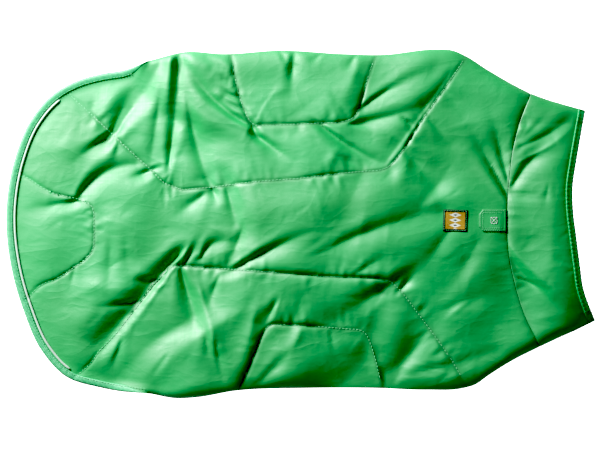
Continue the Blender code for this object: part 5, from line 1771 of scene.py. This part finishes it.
def ranged(tree, value, low, high, to_low, to_high):
    """A value brought from one range to another and held inside it."""
    node = tree.nodes.new("ShaderNodeMapRange")
    for socket, number in zip(node.inputs, (value, low, high, to_low, to_high)):
        wire(tree, number, socket)
    return node.outputs["Result"]


def bumped(tree, shader, pattern, height, under=None):
    """Bends the shader's normal by a pattern of this height in metres. Bumps may be stacked."""
    node = tree.nodes.new("ShaderNodeBump")
    node.inputs["Distance"].default_value = 1.0
    wire(tree, calc(tree, "MULTIPLY", pattern, height), node.inputs["Height"])
    if under is not None:
        wire(tree, under, node.inputs["Normal"])
    wire(tree, node.outputs["Normal"], shader.inputs["Normal"])
    return node.outputs["Normal"]


def coloured(tree, shader, colour, roughness):
    """Gives the shader its colour and its roughness."""
    wire(tree, colour, shader.inputs["Base Color"])
    wire(tree, roughness, shader.inputs["Roughness"])


# %% [markdown]
# ## Finishes
# The shell is a dyed satin nylon. Its colour is deep where one looks at the thread and nearly
# white where the light grazes it, so the shader has a saturated base and a strong, wide gloss. A
# sheen layer could make the pale edges too, but only at grazing views. Crumple and weave change
# colour, roughness and height over the cloth, and a painted shade darkens the grooves at the seams.

# %% Satin nylon shell
SHELL_DEEP = (0.0, 0.33, 0.055)
SHELL_PALE = (0.005, 0.41, 0.085)
# The next green is a painted shade, given to the grooves beside the stitched lines up to the share
# below it.
SEAM_SHADE_GREEN = (0.0, 0.2, 0.03)
SEAM_SHADE_SHARE = 0.75
SHELL_IOR = 2.0
SHELL_LEVEL = 0.7
CRUMPLE_HEIGHT = 0.00028
WEAVE_HEIGHT = 0.000012


def add_shell():
    """Green cloth, paler where the padding lies thick, and deeper beside the seams, where a
    painted shade fills their grooves.
    """
    material, tree, shader = node_material("satin nylon")
    place = object_place(tree)
    creases = placed(tree, crumple, place, Size=26.0)
    threads = placed(tree, weave, place, Threads=1700.0)
    share = ranged(tree, creases["Patch"], 0.3, 0.7, 0.0, 1.0)
    cloth = mixed(tree, share, SHELL_DEEP, SHELL_PALE)
    # The stored numbers mix in the painted shade of the stitched grooves.
    seam = calc(tree, "MULTIPLY", stored(tree, "seam"), SEAM_SHADE_SHARE)
    rough = ranged(tree, creases["Height"], -1.5, 0.5, 0.58, 0.66)
    rough = calc(tree, "MULTIPLY_ADD", threads["Slub"], 0.12, rough)
    coloured(tree, shader, mixed(tree, seam, cloth, SEAM_SHADE_GREEN), rough)
    shader.inputs["IOR"].default_value = SHELL_IOR
    shader.inputs["Specular IOR Level"].default_value = SHELL_LEVEL
    normal = bumped(tree, shader, creases["Height"], CRUMPLE_HEIGHT)
    bumped(tree, shader, threads["Height"], WEAVE_HEIGHT, normal)
    return material


shell = add_shell()

# %% Tapes, piping and threads
TAPE_EDGE_PALE = (0.2, 0.62, 0.3)
TAPE_IOR = 1.8
RIB_HEIGHT = 0.00012
BEADS = 2600.0  # grains a metre
SILVER_DULL = (0.42, 0.55, 0.46)
BEAD_HEIGHT = 0.00005
STRANDS = 2200
STRAND_HEIGHT = 0.00003


def add_tape_cloth(name, pitch, low, high):
    """A ribbed tape, its rib crowns made paler by a painted highlight, and paler a little on its
    outermost edge.
    """
    material, tree, shader = node_material(name)
    place = object_place(tree)
    ribbed = placed(tree, rib_cloth, place, Along=stored(tree, "along"), Pitch=pitch)
    # The rib crowns take the paler colour: a painted highlight over each rib's own tone.
    cloth = mixed(tree, ranged(tree, ribbed["Shade"], 0.2, 0.8, 0.0, 1.0), low, high)
    pale_edge = ranged(tree, stored(tree, "across"), 0.0, 1.2, 0.3, 0.0)
    rough = ranged(tree, ribbed["Shade"], 0.2, 0.8, 0.58, 0.5)
    coloured(tree, shader, mixed(tree, pale_edge, cloth, TAPE_EDGE_PALE), rough)
    shader.inputs["IOR"].default_value = TAPE_IOR
    bumped(tree, shader, ribbed["Height"], RIB_HEIGHT)
    return material


tape_cloth = add_tape_cloth("binding tape", 1.2, (0.04, 0.42, 0.15), (0.14, 0.58, 0.26))
elastic_cloth = add_tape_cloth("neck elastic", 1.3, (0.0, 0.3, 0.07), (0.04, 0.46, 0.14))


def add_silver():
    """Reflective piping: a grey film of glass beads. Each bead is painted pale or dark, a painted
    glint, and the film is rubbed dull here and there."""
    material, tree, shader = node_material("reflective silver")
    place = object_place(tree)
    beads = noise(tree, place, BEADS, 1.0)
    rubbed = noise(tree, place, 60.0, 3.0)
    # Pale and dark flecks from bead to bead: painted glints of the glass.
    glint_grain = ranged(tree, beads, 0.35, 0.65, 0.0, 1.0)
    film = mixed(tree, glint_grain, (0.45, 0.6, 0.5), (0.7, 0.84, 0.75))
    dull = ranged(tree, rubbed, 0.55, 0.75, 0.0, 0.5)
    rough = ranged(tree, rubbed, 0.3, 0.7, 0.3, 0.5)
    coloured(tree, shader, mixed(tree, dull, film, SILVER_DULL), rough)
    bumped(tree, shader, beads, BEAD_HEIGHT)
    return material


silver = add_silver()


def add_thread(name, low, high):
    """Twisted thread: slanting strands, with a painted highlight on their crowns and a painted
    shade between them.
    """
    material, tree, shader = node_material(name)
    place = parts(tree, stretched(tree, object_place(tree), 0.6, (1, 1, 1)))
    slant = calc(tree, "MULTIPLY_ADD", place["Y"], 0.6, place["X"])
    strand = calc(tree, "SINE", calc(tree, "MULTIPLY", slant, TURN * STRANDS))
    # Paler on each strand's crown and darker between strands: painted highlight and painted shade.
    crown = ranged(tree, strand, -1.0, 1.0, 0.0, 1.0)
    rough = ranged(tree, strand, -1.0, 1.0, 0.6, 0.42)
    coloured(tree, shader, mixed(tree, crown, low, high), rough)
    bumped(tree, shader, strand, STRAND_HEIGHT)
    return material


thread = add_thread("green thread", (0.14, 0.56, 0.25), (0.36, 0.84, 0.48))
white_thread = add_thread("white thread", (0.6, 0.66, 0.62), (0.92, 0.95, 0.93))
print("threads:", thread.name, "and", white_thread.name)

# %% [markdown]
# ## The woven label
# A label like this is woven with a few colours: an ochre ground, a dark border and pale figures.
# It could be a small picture, but a pattern worked out from the place on the label stays sharp at
# any distance. The figures here are plain lozenges in a row, and fine ribs run across the whole
# label.

# %% Label pattern
LABEL_MIDDLE = (np.array([np.mean(LABEL_X), np.mean(LABEL_Y)]) + SHIFT[:2]) * MM
LABEL_HALF = (11.5, 10.3)
BORDER_WIDTH = 2.3
LOZENGE = (6.4, 2.45)  # half of its length and of its width
BORDER_BLACK = (0.012, 0.014, 0.012)
FIGURE_WHITE = (0.82, 0.84, 0.8)
CORE_BLACK = (0.02, 0.02, 0.02)
LABEL_RIB = 0.5
LABEL_HEIGHT = 0.00008
LABEL_RIB_SHARE = 0.375


def add_label_cloth():
    """The label's own place in millimetres gives the border, a row of lozenges and their cores."""
    material, tree, shader = node_material("woven label")
    centre = tree.nodes.new("ShaderNodeMapping")
    centre.vector_type = "TEXTURE"
    centre.inputs["Location"].default_value = (*LABEL_MIDDLE, 0)
    centre.inputs["Rotation"].default_value = (0, 0, LABEL_TILT)
    centre.inputs["Scale"].default_value = (MM, MM, MM)
    wire(tree, object_place(tree), centre.inputs["Vector"])
    place = parts(tree, centre.outputs["Vector"])
    across_, along_ = calc(tree, "ABSOLUTE", place["X"]), calc(tree, "ABSOLUTE", place["Y"])
    past_x = calc(tree, "SUBTRACT", across_, LABEL_HALF[0] - BORDER_WIDTH)
    past_y = calc(tree, "SUBTRACT", along_, LABEL_HALF[1] - BORDER_WIDTH)
    past = calc(tree, "MAXIMUM", past_x, past_y)
    border = ranged(tree, past, -0.1, 0.1, 0.0, 1.0)
    step = calc(tree, "PINGPONG", calc(tree, "ADD", place["Y"], 100.0 + LOZENGE[1]), LOZENGE[1])
    step = calc(tree, "DIVIDE", step, LOZENGE[1])
    figure = calc(tree, "ADD", calc(tree, "DIVIDE", across_, LOZENGE[0]), step)
    pale = ranged(tree, figure, 0.86, 0.92, 1.0, 0.0)
    core = ranged(tree, figure, 0.3, 0.36, 1.0, 0.0)
    rib = calc(tree, "SINE", calc(tree, "MULTIPLY", place["X"], TURN / LABEL_RIB))
    fray = noise(tree, object_place(tree), 900.0, 2.0)
    ground = mixed(tree, fray, (0.36, 0.19, 0.02), (0.62, 0.36, 0.06))
    cored = mixed(tree, core, mixed(tree, pale, ground, FIGURE_WHITE), CORE_BLACK)
    rough = ranged(tree, fray, 0.3, 0.7, 0.6, 0.75)
    coloured(tree, shader, mixed(tree, border, cored, BORDER_BLACK), rough)
    bumped(tree, shader, calc(tree, "MULTIPLY_ADD", rib, LABEL_RIB_SHARE, fray), LABEL_HEIGHT)
    return material


woven = add_label_cloth()
PLAIN_TAPES = ("hem_tape", "far_side_tape", "near_side_tape", "belly_tape")
FINISHES = [
    (shell, [back, chest, collar, flap]),
    (tape_cloth, [tapes[name] for name in PLAIN_TAPES]),
    (elastic_cloth, [tapes["neck_tape"]]),
    (silver, [piping]),
    (thread, [quilt_thread, hem_thread, flap_thread, label_thread]),
    (white_thread, [mark]),
    (woven, [label]),
]
for finish, pieces in FINISHES:
    for piece in pieces:
        piece.data.materials.append(finish)
    print(finish.name, "on", [piece.name for piece in pieces])
